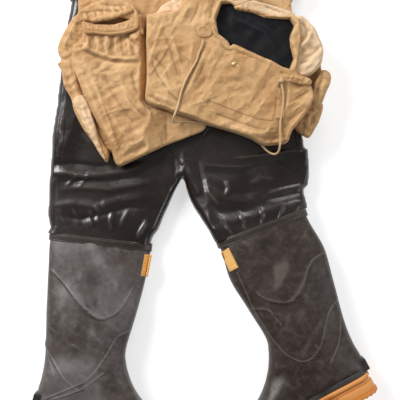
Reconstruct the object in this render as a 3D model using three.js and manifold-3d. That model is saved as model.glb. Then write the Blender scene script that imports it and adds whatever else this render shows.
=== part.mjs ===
// Boot-foot chest waders laid flat: rubber-coated trousers with moulded boots that lie on their
// sides, and a canvas upper that is folded down over the thighs and then up again.
// Millimetres, +Z up. While it is built the origin is the crotch, +X is the wearer's side that
// lies to the right and +Y points to the waist; the finished group is moved so that its origin is
// the centre of its footprint, on the floor.
import * as THREE from "three";
import { mergeVertices } from "three/addons/utils/BufferGeometryUtils.js";
import Module from "manifold-3d";

const wasm = await Module();
wasm.setup();

// Driving dimensions
const CLEARANCE = 0.3; // between pieces that touch
const WALL = 3; // coated cloth and lining together
const BOOT_WALL = 5;
const TURNING_GAP = 0.8; // between a leg's round end and the socket it turns in
const CLOTH_DEPTH = 48; // flattened trousers and thighs, floor to top
const TAPE_DEPTH = 1.5;
const HIP_HEIGHT = 98; // hip pivots above the crotch
const BODY_LENGTH = 461; // crotch to the fold at the waist
const BAND_WIDTH = 18; // joining band at the boot top
const BAND_DEPTH = 2.5;
const OVERLAY_DEPTH = 2;
const BAND_LIFT = BAND_DEPTH + CLEARANCE; // boot shaft above the floor
const FOOT_LENGTH = 304;
const BALL_WIDTH = 102;
const HEEL_WIDTH = 72;
const SOLE_TILT = 0.134; // radians, the toe lower than the heel along the leg
const SOLE_HEEL = new THREE.Vector2(98, -381); // heel end of the sole line, from the boot top
const FOXING_HEIGHT = 12;
const FOXING_DEPTH = 2.5;
const LIP_REACH = 3; // how far the sole lip stands out past the foxing
const LIP_HEIGHT = 10;
const OUTSOLE_HEIGHT = 8;
const SHANK_DEPTH = 3;
const HEEL_LENGTH = 86;
const HEEL_HEIGHT = 28;
const FOLD_DEPTH = 16; // canvas folded down over the thighs
const BACK_DEPTH = 5.9; // back cloth under the chest piece
const CHEST_DEPTH = 39.5; // chest piece, back wall to front
const CHEST_WALL = 11.5;
const SIDE_DEPTH = 26; // gathered side panel
const CASING_DEPTH = 5;
const CORNER_DEPTH = 12;
const POCKET_DEPTH = 2.7;
const SNAP_DIAMETER = 15;
const SNAP_HEIGHT = 3;
const SNAP_POST = 4;
const SNAP_SOCKET_HEIGHT = 3.5;
const CORD_DIAMETER = 4.5;
const KNOT_DIAMETER = 15;
const TAPE_WIDTH = 12;
const KNEE_FLEX = (45 * Math.PI) / 180;
const HIP_OUTWARD = (18 * Math.PI) / 180;
const JOINT_MARGIN = (2 * Math.PI) / 180;

// Each leg lies as it fell: the left one flatter, the right one rounder and further out.
const LEFT_LEG = {
  name: "left",
  side: -1,
  crotchGap: 6,
  thighSplay: 0.15,
  shinSplay: 0.119,
  thighLength: 149,
  thighWidth: 292,
  kneeWidth: 272,
  kneeToBoot: 91,
  bootTopWidth: 229,
  bootTopDepth: 46,
  shinDepth: 76,
};
const RIGHT_LEG = {
  name: "right",
  side: 1,
  crotchGap: 5,
  thighSplay: 0.115,
  shinSplay: 0.361,
  thighLength: 122,
  thighWidth: 274,
  kneeWidth: 257,
  kneeToBoot: 88,
  bootTopWidth: 195,
  bootTopDepth: 72,
  shinDepth: 82,
};

// The hip pivots lie in the middle of the thighs, whose inner edges almost meet at the crotch.
const hipOffset = (leg) => leg.thighWidth / 2 + leg.crotchGap;

// Levels of the folded upper, each from the one under it
const TAPE_LEVEL = CLOTH_DEPTH + CLEARANCE;
const FOLD_LEVEL = TAPE_LEVEL + TAPE_DEPTH + CLEARANCE;
const BACK_LEVEL = FOLD_LEVEL + FOLD_DEPTH + CLEARANCE;
const CHEST_LEVEL = BACK_LEVEL + BACK_DEPTH + CLEARANCE;
const CHEST_FLOOR = CHEST_LEVEL + CHEST_WALL;
const CHEST_TOP = CHEST_LEVEL + CHEST_DEPTH;
const POCKET_LEVEL = CHEST_TOP + CLEARANCE;
const FOOT_CENTRE = BALL_WIDTH / 2 + LIP_REACH;

const colours = {
  rubber: new THREE.MeshStandardMaterial({ color: 0x332a25, roughness: 0.45, metalness: 0 }),
  bootRubber: new THREE.MeshStandardMaterial({ color: 0x4a403b, roughness: 0.6, metalness: 0 }),
  blackRubber: new THREE.MeshStandardMaterial({ color: 0x1c1815, roughness: 0.5, metalness: 0 }),
  sole: new THREE.MeshStandardMaterial({ color: 0xe6882f, roughness: 0.55, metalness: 0 }),
  canvas: new THREE.MeshStandardMaterial({ color: 0xc2a06c, roughness: 0.85, metalness: 0 }),
  lining: new THREE.MeshStandardMaterial({ color: 0x0a0a0d, roughness: 0.5, metalness: 0 }),
  cord: new THREE.MeshStandardMaterial({ color: 0xb8935e, roughness: 0.9, metalness: 0 }),
  label: new THREE.MeshStandardMaterial({ color: 0xf2b45f, roughness: 0.6, metalness: 0 }),
  felt: new THREE.MeshStandardMaterial({ color: 0x6d6558, roughness: 0.95, metalness: 0 }),
  steel: new THREE.MeshStandardMaterial({ color: 0x9a9a9a, roughness: 0.35, metalness: 1 }),
  brass: new THREE.MeshStandardMaterial({ color: 0xb79a63, roughness: 0.4, metalness: 0.9 }),
};

// Solids and meshes

function toSolid(geometry) {
  const bare = geometry.clone();
  bare.deleteAttribute("normal");
  bare.deleteAttribute("uv");
  const merged = mergeVertices(bare, 1e-3);
  return new wasm.Manifold(
    new wasm.Mesh({
      numProp: 3,
      vertProperties: new Float32Array(merged.attributes.position.array),
      triVerts: new Uint32Array(merged.index.array),
    }),
  );
}

function toMesh(name, solid, material) {
  const made = solid.getMesh();
  const geometry = new THREE.BufferGeometry();
  geometry.setAttribute("position", new THREE.BufferAttribute(made.vertProperties, 3));
  geometry.setIndex(new THREE.BufferAttribute(made.triVerts, 1));
  const mesh = new THREE.Mesh(geometry, material.clone());
  mesh.name = name;
  return mesh;
}

// A flat layer: an outline in plan, from one level up to another, with rounded edges.
function layer(outline, bottom, top, edge = 0) {
  const geometry = new THREE.ExtrudeGeometry(outline, {
    depth: top - bottom - 2 * edge,
    bevelEnabled: edge > 0,
    bevelThickness: edge,
    bevelSize: edge,
    bevelOffset: -edge,
    bevelSegments: edge > 2 ? 2 : 1,
  });
  geometry.translate(0, 0, bottom + edge);
  return toSolid(geometry);
}

function polygon(points) {
  return new THREE.Shape(points.map(([x, y]) => new THREE.Vector2(x, y)));
}

// A closed soft outline that passes through its points.
function softOutline(points, steps) {
  const curve = new THREE.CatmullRomCurve3(
    points.map(([x, y]) => new THREE.Vector3(x, y, 0)),
    true,
    "centripetal",
  );
  return new THREE.Shape(curve.getPoints(steps).slice(0, -1).map((p) => new THREE.Vector2(p.x, p.y)));
}

// A tube lofted through sections. Each runs from its front point to its back point, seen from
// above, and is half as deep each way from its centre level; power rounds it (0.5 is nearly flat).
function loft(sections, sides = 16) {
  const rows = sections.length - 1;
  const geometry = new THREE.CylinderGeometry(1, 1, 1, sides, rows);
  const place = geometry.attributes.position;
  const swell = (value, power) => Math.sign(value) * Math.abs(value) ** power;
  for (let i = 0; i < place.count; i += 1) {
    const section = sections[Math.round((0.5 - place.getY(i)) * rows)];
    const across = swell(Math.abs(place.getX(i)) < 1e-9 ? 0 : place.getX(i), section.power);
    const up = swell(Math.abs(place.getZ(i)) < 1e-9 ? 0 : place.getZ(i), section.power);
    const [fx, fy] = section.front;
    const [bx, by] = section.back;
    place.setXYZ(
      i,
      (fx + bx) / 2 + (across * (bx - fx)) / 2,
      (fy + by) / 2 + (across * (by - fy)) / 2,
      section.centre + up * section.half,
    );
  }
  return toSolid(geometry);
}

// The same sections, larger by reach all round; the last one also moves on towards the toe.
function grown(sections, reach) {
  return sections.map((section, i) => {
    const front = new THREE.Vector2(...section.front);
    const back = new THREE.Vector2(...section.back);
    const step = back.clone().sub(front).setLength(reach);
    front.sub(step);
    back.add(step);
    if (i === sections.length - 1 && section.toe) {
      front.x -= reach;
      back.x -= reach;
    }
    return { ...section, front: front.toArray(), back: back.toArray(), half: section.half + reach };
  });
}

// A section between two others.
function between(first, second, share) {
  const mix = (a, b) => a + (b - a) * share;
  return {
    front: [mix(first.front[0], second.front[0]), mix(first.front[1], second.front[1])],
    back: [mix(first.back[0], second.back[0]), mix(first.back[1], second.back[1])],
    half: mix(first.half, second.half),
    centre: mix(first.centre, second.centre),
    power: mix(first.power, second.power),
  };
}

function skin(sections, inner, outer) {
  return loft(grown(sections, outer)).subtract(loft(grown(sections, inner)));
}

function disc(radius, height) {
  return new THREE.CylinderGeometry(radius, radius, height, 24).rotateX(Math.PI / 2);
}

// Trousers

// Where the hem of a socket cut for a turning leg ends: the point of the circle at that angle.
function onCircle(centre, radius, angle) {
  return [centre[0] + radius * Math.cos(angle), centre[1] + radius * Math.sin(angle)];
}

function arcPoints(centre, radius, start, end, steps = 14) {
  return Array.from({ length: steps + 1 }, (_, i) =>
    onCircle(centre, radius, start + ((end - start) * i) / steps),
  );
}

// The hem of a socket, whose straight steps stay clear of the round end that turns in it.
function socketPoints(centre, radius, start, end, steps = 14) {
  const clear = (radius + TURNING_GAP) / Math.cos((end - start) / steps / 2);
  return arcPoints(centre, clear, start, end, steps);
}

// The straight sides of the trouser body, a little inside the thighs' outer edges.
function bodySides() {
  return {
    leftSide: -hipOffset(LEFT_LEG) - LEFT_LEG.thighWidth / 2 + 6,
    rightSide: hipOffset(RIGHT_LEG) + RIGHT_LEG.thighWidth / 2 - 6,
  };
}

function trunkSolid() {
  const left = { centre: [-hipOffset(LEFT_LEG), HIP_HEIGHT], radius: LEFT_LEG.thighWidth / 2 };
  const right = { centre: [hipOffset(RIGHT_LEG), HIP_HEIGHT], radius: RIGHT_LEG.thighWidth / 2 };
  const crotchAngle = 5 * (Math.PI / 180);
  const turn = HIP_OUTWARD + JOINT_MARGIN;
  const leftHem = socketPoints(
    left.centre,
    left.radius,
    Math.PI - LEFT_LEG.thighSplay - turn,
    crotchAngle,
  );
  const rightHem = socketPoints(
    right.centre,
    right.radius,
    Math.PI - crotchAngle,
    RIGHT_LEG.thighSplay + turn,
  );
  const { leftSide, rightSide } = bodySides();
  const shoulder = BODY_LENGTH - 112;
  const flank = HIP_HEIGHT + 162;
  const outline = polygon([
    [leftSide + 42, BODY_LENGTH],
    [leftSide + 30, shoulder],
    [leftSide + 12, flank],
    [leftSide, leftHem[0][1] - 20],
    ...leftHem,
    ...rightHem,
    [rightSide, rightHem.at(-1)[1] - 15],
    [rightSide - 11, flank],
    [rightSide - 23, shoulder],
    [rightSide - 28, BODY_LENGTH],
  ]);
  const cavity = polygon([
    [leftSide + 42 + WALL, BODY_LENGTH + 20],
    [leftSide + 42 + WALL, BODY_LENGTH],
    [leftSide + 30 + WALL, shoulder],
    [leftSide + 12 + WALL, flank],
    [leftSide + WALL, leftHem[0][1]],
    [leftSide + WALL, HIP_HEIGHT],
    [-WALL - CLEARANCE, HIP_HEIGHT],
    [-WALL * 2, HIP_HEIGHT + 75],
    [WALL * 2, HIP_HEIGHT + 75],
    [WALL + CLEARANCE, HIP_HEIGHT],
    [rightSide - WALL, HIP_HEIGHT],
    [rightSide - WALL, rightHem.at(-1)[1]],
    [rightSide - 11 - WALL, flank],
    [rightSide - 23 - WALL, shoulder],
    [rightSide - 28 - WALL, BODY_LENGTH],
    [rightSide - 28 - WALL, BODY_LENGTH + 20],
  ]);
  return layer(outline, 0, CLOTH_DEPTH, 2).subtract(layer(cavity, WALL, CLOTH_DEPTH - WALL));
}

function addTrousers(group) {
  group.add(toMesh("trunk", trunkSolid(), colours.rubber));
  const patch = polygon([
    [0, 30],
    [62, 118],
    [0, 205],
    [-62, 118],
  ]);
  group.add(toMesh("crotch_patch", layer(patch, TAPE_LEVEL, TAPE_LEVEL + TAPE_DEPTH), colours.rubber));
  const { leftSide, rightSide } = bodySides();
  const waistTape = 24;
  const seam = polygon([
    [-12, 205 + CLEARANCE],
    [12, 205 + CLEARANCE],
    [12, BODY_LENGTH - waistTape - CLEARANCE],
    [-12, BODY_LENGTH - waistTape - CLEARANCE],
  ]);
  group.add(toMesh("centre_seam_tape", layer(seam, TAPE_LEVEL, TAPE_LEVEL + TAPE_DEPTH), colours.blackRubber));
  const waist = polygon([
    [leftSide + 52, BODY_LENGTH - waistTape],
    [rightSide - 38, BODY_LENGTH - waistTape],
    [rightSide - 38, BODY_LENGTH],
    [leftSide + 52, BODY_LENGTH],
  ]);
  group.add(toMesh("waist_tape", layer(waist, TAPE_LEVEL, TAPE_LEVEL + TAPE_DEPTH), colours.blackRubber));
}

// Legs, modelled with the heel towards +X and the toe towards -X

function thighSolid(leg) {
  const radius = leg.thighWidth / 2;
  const knee = leg.kneeWidth / 2;
  const bend = leg.shinSplay - leg.thighSplay;
  const outer = bend + KNEE_FLEX + JOINT_MARGIN;
  const inner = Math.PI - Math.max(0, -bend) - JOINT_MARGIN;
  const centre = [0, -leg.thighLength];
  const socket = socketPoints(centre, knee, outer, inner);
  const reach = (radius - socket[0][0]) / Math.sin(outer);
  const notch = [radius, socket[0][1] - reach * Math.cos(outer)];
  const outline = polygon([...socket, ...arcPoints([0, 0], radius, Math.PI, 0, 18), notch]);
  const cavity = polygon([
    [-radius + WALL, radius + 20],
    [-radius + WALL, 0],
    [-knee + WALL, -leg.thighLength],
    [-knee + WALL, -leg.thighLength - 20],
    [knee - WALL, -leg.thighLength - 20],
    [knee - WALL, -leg.thighLength],
    [radius - WALL, 0],
    [radius - WALL, radius + 20],
  ]);
  return layer(outline, 0, CLOTH_DEPTH, 2).subtract(layer(cavity, WALL, CLOTH_DEPTH - WALL));
}

function sleeveSections(leg) {
  const half = leg.kneeWidth / 2;
  const foot = leg.bootTopWidth / 2;
  return [
    { front: [-half, 0], back: [half, 0], half: CLOTH_DEPTH / 2, centre: CLOTH_DEPTH / 2, power: 0.6 },
    {
      front: [-foot, -leg.kneeToBoot],
      back: [foot, -leg.kneeToBoot],
      half: leg.bootTopDepth / 2,
      centre: leg.bootTopDepth / 2 + BAND_LIFT,
      power: 0.6,
    },
  ];
}

function sleeveSolid(leg) {
  const radius = leg.kneeWidth / 2;
  const sections = sleeveSections(leg);
  const shell = layer(polygon(arcPoints([0, 0], radius, 0, Math.PI, 18)), 0, CLOTH_DEPTH, 2);
  const overlap = { ...sections[0], front: [-radius, 6], back: [radius, 6] };
  const hollow = grown(sections, -WALL);
  const mouth = { ...hollow[1], front: [hollow[1].front[0], hollow[1].front[1] - 9] };
  mouth.back = [hollow[1].back[0], hollow[1].back[1] - 9];
  const knee = polygon([
    [-radius + WALL, -2],
    [radius - WALL, -2],
    [radius - WALL, radius + 20],
    [-radius + WALL, radius + 20],
  ]);
  return shell
    .add(loft([overlap, ...sections]))
    .subtract(loft([{ ...hollow[0], front: [-radius + WALL, 4], back: [radius - WALL, 4] }, ...hollow, mouth]))
    .subtract(layer(knee, WALL, CLOTH_DEPTH - WALL));
}

// A point of the foot: a share of its length from the heel, and a height above the sole line.
function footPoint(share, height) {
  const along = share * FOOT_LENGTH;
  return [
    SOLE_HEEL.x - along * Math.cos(SOLE_TILT) - height * Math.sin(SOLE_TILT),
    SOLE_HEEL.y - along * Math.sin(SOLE_TILT) + height * Math.cos(SOLE_TILT),
  ];
}

// Boot sections from the boot top round the ankle to the toe.
function bootSections(leg) {
  const top = leg.bootTopWidth / 2;
  const shaft = leg.bootTopDepth / 2;
  const shin = leg.shinDepth / 2;
  const foot = BALL_WIDTH / 2 - FOXING_DEPTH - CLEARANCE;
  const heel = HEEL_WIDTH / 2 + 4;
  const make = (front, back, half, centre, power = 0.8) => ({ front, back, half, centre, power });
  return [
    make([-top, -CLEARANCE], [top, -CLEARANCE], shaft, shaft + BAND_LIFT, 0.6),
    make([-110, -85], [108, -92], (shaft + shin) / 2, (shaft + shin) / 2 + BAND_LIFT, 0.6),
    make([-100, -155], [101, -170], shin, shin + BAND_LIFT),
    make([-87, -232], [92, -262], shin, shin + BAND_LIFT + 4),
    make([-92, -266], [92, -312], heel + 3, FOOT_CENTRE - 4),
    make([-104, -296], [97, -350], heel + 1, FOOT_CENTRE),
    make([-114, -313], [90, -381], heel, FOOT_CENTRE),
    make(footPoint(0.708, 80.5), footPoint(0.292, 0.9), foot - 6, FOOT_CENTRE),
    make(footPoint(0.768, 64.8), footPoint(0.531, 0.6), foot - 2, FOOT_CENTRE),
    make(footPoint(0.841, 49.6), footPoint(0.74, 0.1), foot, FOOT_CENTRE),
    make(footPoint(0.917, 34.6), footPoint(0.883, 0.9), foot - 5, FOOT_CENTRE),
    { ...make(footPoint(0.967, 19.5), footPoint(0.961, 3.1), foot / 2, FOOT_CENTRE), toe: true },
  ];
}

// Footprint of the sole seen along the leg: x along the foot from the heel, y across it.
function footprint(reach) {
  const half = [
    [-reach, 0],
    [10, HEEL_WIDTH / 2 - 8 + reach],
    [36, HEEL_WIDTH / 2 + reach],
    [FOOT_LENGTH * 0.362, HEEL_WIDTH / 2 - 3 + reach],
    [FOOT_LENGTH * 0.559, BALL_WIDTH / 2 - 8 + reach],
    [FOOT_LENGTH * 0.707, BALL_WIDTH / 2 + reach],
    [FOOT_LENGTH * 0.862, BALL_WIDTH / 2 - 8 + reach],
    [FOOT_LENGTH - 12, 22 + reach],
    [FOOT_LENGTH + reach, 0],
  ];
  const other = half.slice(1, -1).reverse().map(([x, y]) => [x, -y]);
  return [...half, ...other].map(([x, y]) => [-x, y]);
}

// A plate of the sole between two distances below the sole line, placed in the boot.
function solePlate(points, top, bottom, steps = 36) {
  const geometry = new THREE.ExtrudeGeometry(softOutline(points, steps), {
    depth: top - bottom,
    bevelEnabled: false,
  });
  geometry.rotateX(Math.PI / 2);
  geometry.translate(0, top, FOOT_CENTRE);
  geometry.rotateZ(SOLE_TILT);
  geometry.translate(SOLE_HEEL.x, SOLE_HEEL.y, 0);
  return toSolid(geometry);
}

function heelPoints() {
  const half = HEEL_WIDTH / 2;
  return [
    [2, 0],
    [-8, half - 9],
    [-32, half],
    [-HEEL_LENGTH, half - 3],
    [-HEEL_LENGTH - 2, 0],
    [-HEEL_LENGTH, 3 - half],
    [-32, -half],
    [-8, 9 - half],
  ];
}

function bootMeshes(leg) {
  const sections = bootSections(leg);
  const name = (part) => `${leg.name}_${part}`;
  const shell = loft(sections);
  const clear = loft(grown(sections, CLEARANCE));
  const hollow = grown(sections, -BOOT_WALL);
  const mouth = { ...hollow[0], front: [hollow[0].front[0], 12], back: [hollow[0].back[0], 12] };
  const cavity = loft([mouth, ...hollow]);
  const overlay = skin(sections, CLEARANCE, CLEARANCE + OVERLAY_DEPTH);
  const aboveSole = (gap) => solePlate(footprint(20), 500, FOXING_HEIGHT + gap);

  const shinOutline = softOutline(
    [
      [-130, -62],
      [-62, -150],
      [0, -176],
      [52, -150],
      [88, -84],
      [140, -120],
      [140, -205],
      [0, -226],
      [-130, -190],
    ],
    36,
  );
  const ankleOutline = softOutline(
    [
      [-125, -216],
      [-20, -250],
      [140, -238],
      [150, -330],
      [60, -322],
      [0, -292],
      [-60, -290],
      [-125, -268],
    ],
    36,
  );
  const [toeX, toeY] = footPoint(1, 0);
  const toeLine = polygon([
    [toeX - 57, toeY + 92],
    [toeX + 53, toeY + 92],
    [toeX + 71, toeY - 18],
    [toeX - 57, toeY - 18],
  ]);
  const plan = (outline) => layer(outline, -20, 160);
  const soleClear = solePlate(footprint(20), FOXING_HEIGHT + CLEARANCE, -60);

  const foxing = solePlate(footprint(0), FOXING_HEIGHT, 0).subtract(clear);
  const lug = polygon([
    [SOLE_HEEL.x - 20, SOLE_HEEL.y + 34],
    [SOLE_HEEL.x + 11, SOLE_HEEL.y + 17],
    [SOLE_HEEL.x + 10, SOLE_HEEL.y + 6],
    [SOLE_HEEL.x - 20, SOLE_HEEL.y + 6],
  ]);
  const lugSolid = layer(lug, FOOT_CENTRE - 22, FOOT_CENTRE + 22)
    .subtract(loft(grown(sections, 2 * CLEARANCE)))
    .subtract(solePlate(footprint(20), FOXING_HEIGHT + CLEARANCE, -60));
  const shankPlate = (gap, top, depth) => {
    const half = 8 + gap;
    const outline = polygon([
      [-70 + gap, -half],
      [-70 + gap, half],
      [-180 - gap, half],
      [-180 - gap, -half],
    ]);
    const geometry = new THREE.ExtrudeGeometry(outline, { depth, bevelEnabled: false });
    geometry.rotateX(Math.PI / 2);
    geometry.translate(0, top, FOOT_CENTRE);
    geometry.rotateZ(SOLE_TILT);
    geometry.translate(SOLE_HEEL.x, SOLE_HEEL.y, 0);
    return toSolid(geometry);
  };
  const lipTop = -CLEARANCE;
  const lipBottom = lipTop - LIP_HEIGHT;
  const outsoleTop = lipBottom - CLEARANCE;
  const outsoleBottom = outsoleTop - OUTSOLE_HEIGHT;
  const heelTop = outsoleBottom - CLEARANCE;
  const lip = solePlate(footprint(LIP_REACH), lipTop, lipBottom)
    .subtract(shankPlate(CLEARANCE, lipTop + 1, 1 + SHANK_DEPTH + 2 * CLEARANCE))
    .subtract(loft(grown(sections, CLEARANCE)));
  const insole = solePlate(footprint(-BOOT_WALL - 2), 9, 5).intersect(loft(grown(sections, -BOOT_WALL - CLEARANCE)));
  const half = leg.bootTopWidth / 2;
  const labelFrame = polygon([
    [-half - 30, -14],
    [-half + 18, -18],
    [-half + 20, -66],
    [-half - 30, -62],
  ]);
  const sleeve = sleeveSections(leg).map((section) => ({
    ...section,
    front: [section.front[0], section.front[1] + leg.kneeToBoot],
    back: [section.back[0], section.back[1] + leg.kneeToBoot],
  }));
  const upperEdge = between(sleeve[1], sleeve[0], BAND_WIDTH / 2 / leg.kneeToBoot);
  const bandSections = [
    { ...upperEdge, centre: upperEdge.half + BAND_LIFT },
    { ...sections[0], front: [-half, 0], back: [half, 0] },
    between(sections[0], sections[1], BAND_WIDTH / 2 / 85),
  ];
  const bandBore = grown(bandSections, 2 * CLEARANCE);
  return [
    toMesh(name("boot_upper"), shell.subtract(cavity), colours.bootRubber),
    toMesh(
      name("boot_top_band"),
      loft(grown(bandSections, BAND_LIFT)).subtract(
        loft([
          { ...bandBore[0], front: [bandBore[0].front[0], BAND_WIDTH], back: [bandBore[0].back[0], BAND_WIDTH] },
          ...bandBore,
          { ...bandBore[2], front: [bandBore[2].front[0], -BAND_WIDTH], back: [bandBore[2].back[0], -BAND_WIDTH] },
        ]),
      ),
      colours.blackRubber,
    ),
    toMesh(name("shin_overlay"), overlay.intersect(plan(shinOutline)), colours.bootRubber),
    toMesh(
      name("ankle_overlay"),
      overlay.intersect(plan(ankleOutline)).subtract(soleClear),
      colours.bootRubber,
    ),
    toMesh(
      name("toe_cap"),
      overlay.intersect(plan(toeLine)).intersect(aboveSole(CLEARANCE)),
      colours.bootRubber,
    ),
    toMesh(name("foxing_band"), foxing, colours.blackRubber),
    toMesh(name("kick_lug"), lugSolid, colours.blackRubber),
    toMesh(name("sole_lip"), lip, colours.sole),
    toMesh(name("outsole"), solePlate(footprint(-2), outsoleTop, outsoleBottom), colours.sole),
    toMesh(name("heel_block"), solePlate(heelPoints(), heelTop, heelTop - HEEL_HEIGHT, 24), colours.sole),
    toMesh(name("shank"), shankPlate(0, lipTop - CLEARANCE, SHANK_DEPTH), colours.steel),
    toMesh(name("insole"), insole, colours.felt),
    toMesh(name("label"), skin(sections, CLEARANCE, CLEARANCE + 1).intersect(plan(labelFrame)), colours.label),
  ];
}

function buildLeg(leg) {
  const thigh = new THREE.Group();
  thigh.position.set(leg.side * hipOffset(leg), HIP_HEIGHT, 0);
  thigh.scale.x = leg.side;
  thigh.rotation.z = leg.side * leg.thighSplay;
  thigh.add(toMesh(`${leg.name}_thigh`, thighSolid(leg), colours.rubber));
  const edge = leg.thighWidth / 2;
  const tape = polygon([
    [edge - 26, 60],
    [edge - 9, 40],
    [edge - 9, -30],
    [edge - 26, -30],
  ]);
  thigh.add(
    toMesh(`${leg.name}_seam_tape`, layer(tape, TAPE_LEVEL, TAPE_LEVEL + TAPE_DEPTH), colours.rubber),
  );
  const shin = new THREE.Group();
  shin.position.set(0, -leg.thighLength, 0);
  shin.rotation.z = leg.shinSplay - leg.thighSplay;
  shin.add(toMesh(`${leg.name}_knee_sleeve`, sleeveSolid(leg), colours.rubber));
  const boot = new THREE.Group();
  boot.position.set(0, -leg.kneeToBoot, 0);
  boot.add(...bootMeshes(leg));
  shin.add(boot);
  thigh.add(shin);
  return thigh;
}

// Upper: the layer folded down over the thighs and what lies beside the chest piece

function addUpper(group) {
  const fold = softOutline(
    [
      [-160, BODY_LENGTH],
      [170, BODY_LENGTH],
      [176, BODY_LENGTH - 81],
      [278, 320],
      [302, 190],
      [262, 120],
      [170, 96],
      [40, 128],
      [-60, 84],
      [-150, 60],
      [-232, 160],
      [-262, 250],
      [-236, 330],
      [-160, BODY_LENGTH - 71],
    ],
    42,
  );
  const beyondWaist = polygon([
    [-400, BODY_LENGTH],
    [400, BODY_LENGTH],
    [400, BODY_LENGTH + 60],
    [-400, BODY_LENGTH + 60],
  ]);
  group.add(
    toMesh(
      "upper_fold",
      layer(fold, FOLD_LEVEL, FOLD_LEVEL + FOLD_DEPTH, 3).subtract(layer(beyondWaist, 0, CHEST_TOP)),
      colours.canvas,
    ),
  );
  const side = softOutline(
    [
      [-100, 352],
      [-150, 372],
      [-214, 362],
      [-252, 322],
      [-268, 262],
      [-250, 190],
      [-214, 110],
      [-176, 50],
      [-136, 34],
      [-104, 70],
      [-101, 190],
    ],
    36,
  );
  group.add(toMesh("side_panel", layer(side, BACK_LEVEL, BACK_LEVEL + SIDE_DEPTH, 5), colours.canvas));
  const casingLevel = BACK_LEVEL + SIDE_DEPTH + CLEARANCE;
  const front = softOutline(
    [
      [-214, 338],
      [-186, 346],
      [-140, 346],
      [-104, 340],
      [-104, 320],
      [-140, 316],
      [-186, 314],
      [-214, 312],
    ],
    24,
  );
  group.add(toMesh("front_casing", layer(front, casingLevel, casingLevel + CASING_DEPTH, 1.5), colours.canvas));
  const back = softOutline(
    [
      [-206, 362],
      [-150, 366],
      [-120, 358],
      [-120, 350],
      [-150, 351],
      [-206, 349],
    ],
    20,
  );
  group.add(toMesh("back_casing", layer(back, casingLevel, casingLevel + CASING_DEPTH, 1), colours.canvas));
  const strip = softOutline(
    [
      [-70, 378],
      [-20, 412],
      [2, 410],
      [12, 372],
      [-40, 366],
    ],
    20,
  );
  group.add(toMesh("turned_strip", layer(strip, BACK_LEVEL, BACK_LEVEL + CORNER_DEPTH, 2), colours.canvas));
  const lower = softOutline(
    [
      [262, 98],
      [290, 94],
      [301, 124],
      [314, 152],
      [300, 164],
      [272, 140],
    ],
    24,
  );
  group.add(toMesh("lower_corner", layer(lower, BACK_LEVEL, BACK_LEVEL + CORNER_DEPTH, 2), colours.canvas));
  const higher = softOutline(
    [
      [307, 168],
      [322, 200],
      [334, 238],
      [318, 250],
      [304, 236],
      [299, 200],
    ],
    24,
  );
  group.add(toMesh("upper_corner", layer(higher, BACK_LEVEL, BACK_LEVEL + CORNER_DEPTH, 2), colours.canvas));
}

// Chest piece: back wall, lining, front wall with its pocket, and the cord that closes it

const CHEST_MOUTH = [
  [88, 430],
  [88, 360],
  [78, 322],
  [108, 292],
  [227, 238],
  [244, 266],
  [238, 320],
  [240, 430],
];
const SNAP_PLACE = [117, 252];
const KNOT_PLACE = [216, 219];

// Middle line of the drawcord, from its casing tab over the chest piece, under it and back up.
function cordPoints() {
  const over = CHEST_TOP + CLEARANCE + CORD_DIAMETER / 2;
  const under = (BACK_LEVEL + CHEST_LEVEL) / 2;
  const middle = (over + under) / 2;
  return [
    [48, 305.2, over],
    [44, 290, over],
    [38, 276, over],
    [33, 260, over],
    [22, 240, over],
    [10, 218, over],
    [0, 192, over],
    [-6, 168, over],
    [-10, 154, over + 0.3],
    [-16, 139, over - 3],
    [-19, 130, middle + 5],
    [-15, 127, middle - 9],
    [4, 130, under],
    [30, 128, under],
    [62, 122, under],
    [100, 112, under],
    [140, 98, under],
    [170, 84, under + 1],
    [190, 64, middle - 14],
    [204, 56, middle + 4],
    [212, 61, over - 6],
    [215, 74, over + 0.5],
    [216, 90, over],
    [216, 124, over],
    [221, 152, over],
    [223, 180, over],
    [219, 208, over],
  ].map((point) => new THREE.Vector3(...point));
}

function cordSolid() {
  const path = new THREE.CatmullRomCurve3(cordPoints(), false, "centripetal");
  const section = new THREE.Shape();
  section.absarc(0, 0, CORD_DIAMETER / 2, 0, 2 * Math.PI);
  const steps = Math.round(path.getLength() / (2.6 * CORD_DIAMETER));
  return toSolid(
    new THREE.ExtrudeGeometry(section, { extrudePath: path, steps, curveSegments: 4, bevelEnabled: false }),
  );
}

function snapSolids() {
  const top = POCKET_LEVEL + POCKET_DEPTH;
  const socketBottom = CHEST_TOP - CHEST_WALL;
  const lathe = (profile) => {
    const geometry = new THREE.LatheGeometry(profile.map(([r, z]) => new THREE.Vector2(r, z)), 16);
    geometry.rotateX(Math.PI / 2);
    geometry.translate(SNAP_PLACE[0], SNAP_PLACE[1], 0);
    return toSolid(geometry);
  };
  const radius = SNAP_DIAMETER / 2;
  const cap = lathe([
    [0, socketBottom + SNAP_SOCKET_HEIGHT / 2],
    [SNAP_POST / 2, socketBottom + SNAP_SOCKET_HEIGHT / 2],
    [SNAP_POST / 2, top + CLEARANCE],
    [radius, top + CLEARANCE],
    [radius, top + CLEARANCE + SNAP_HEIGHT / 2],
    [radius * 0.7, top + CLEARANCE + SNAP_HEIGHT * 0.9],
    [0, top + CLEARANCE + SNAP_HEIGHT],
  ]);
  const inner = SNAP_POST / 2 + CLEARANCE;
  const socket = lathe([
    [inner, socketBottom],
    [radius * 0.8, socketBottom],
    [radius * 0.8, socketBottom + SNAP_SOCKET_HEIGHT],
    [inner, socketBottom + SNAP_SOCKET_HEIGHT],
    [inner, socketBottom],
  ]);
  return { cap, socket };
}

function round(place, radius, bottom, top) {
  const geometry = disc(radius, top - bottom);
  geometry.translate(place[0], place[1], (bottom + top) / 2);
  return toSolid(geometry);
}

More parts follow.
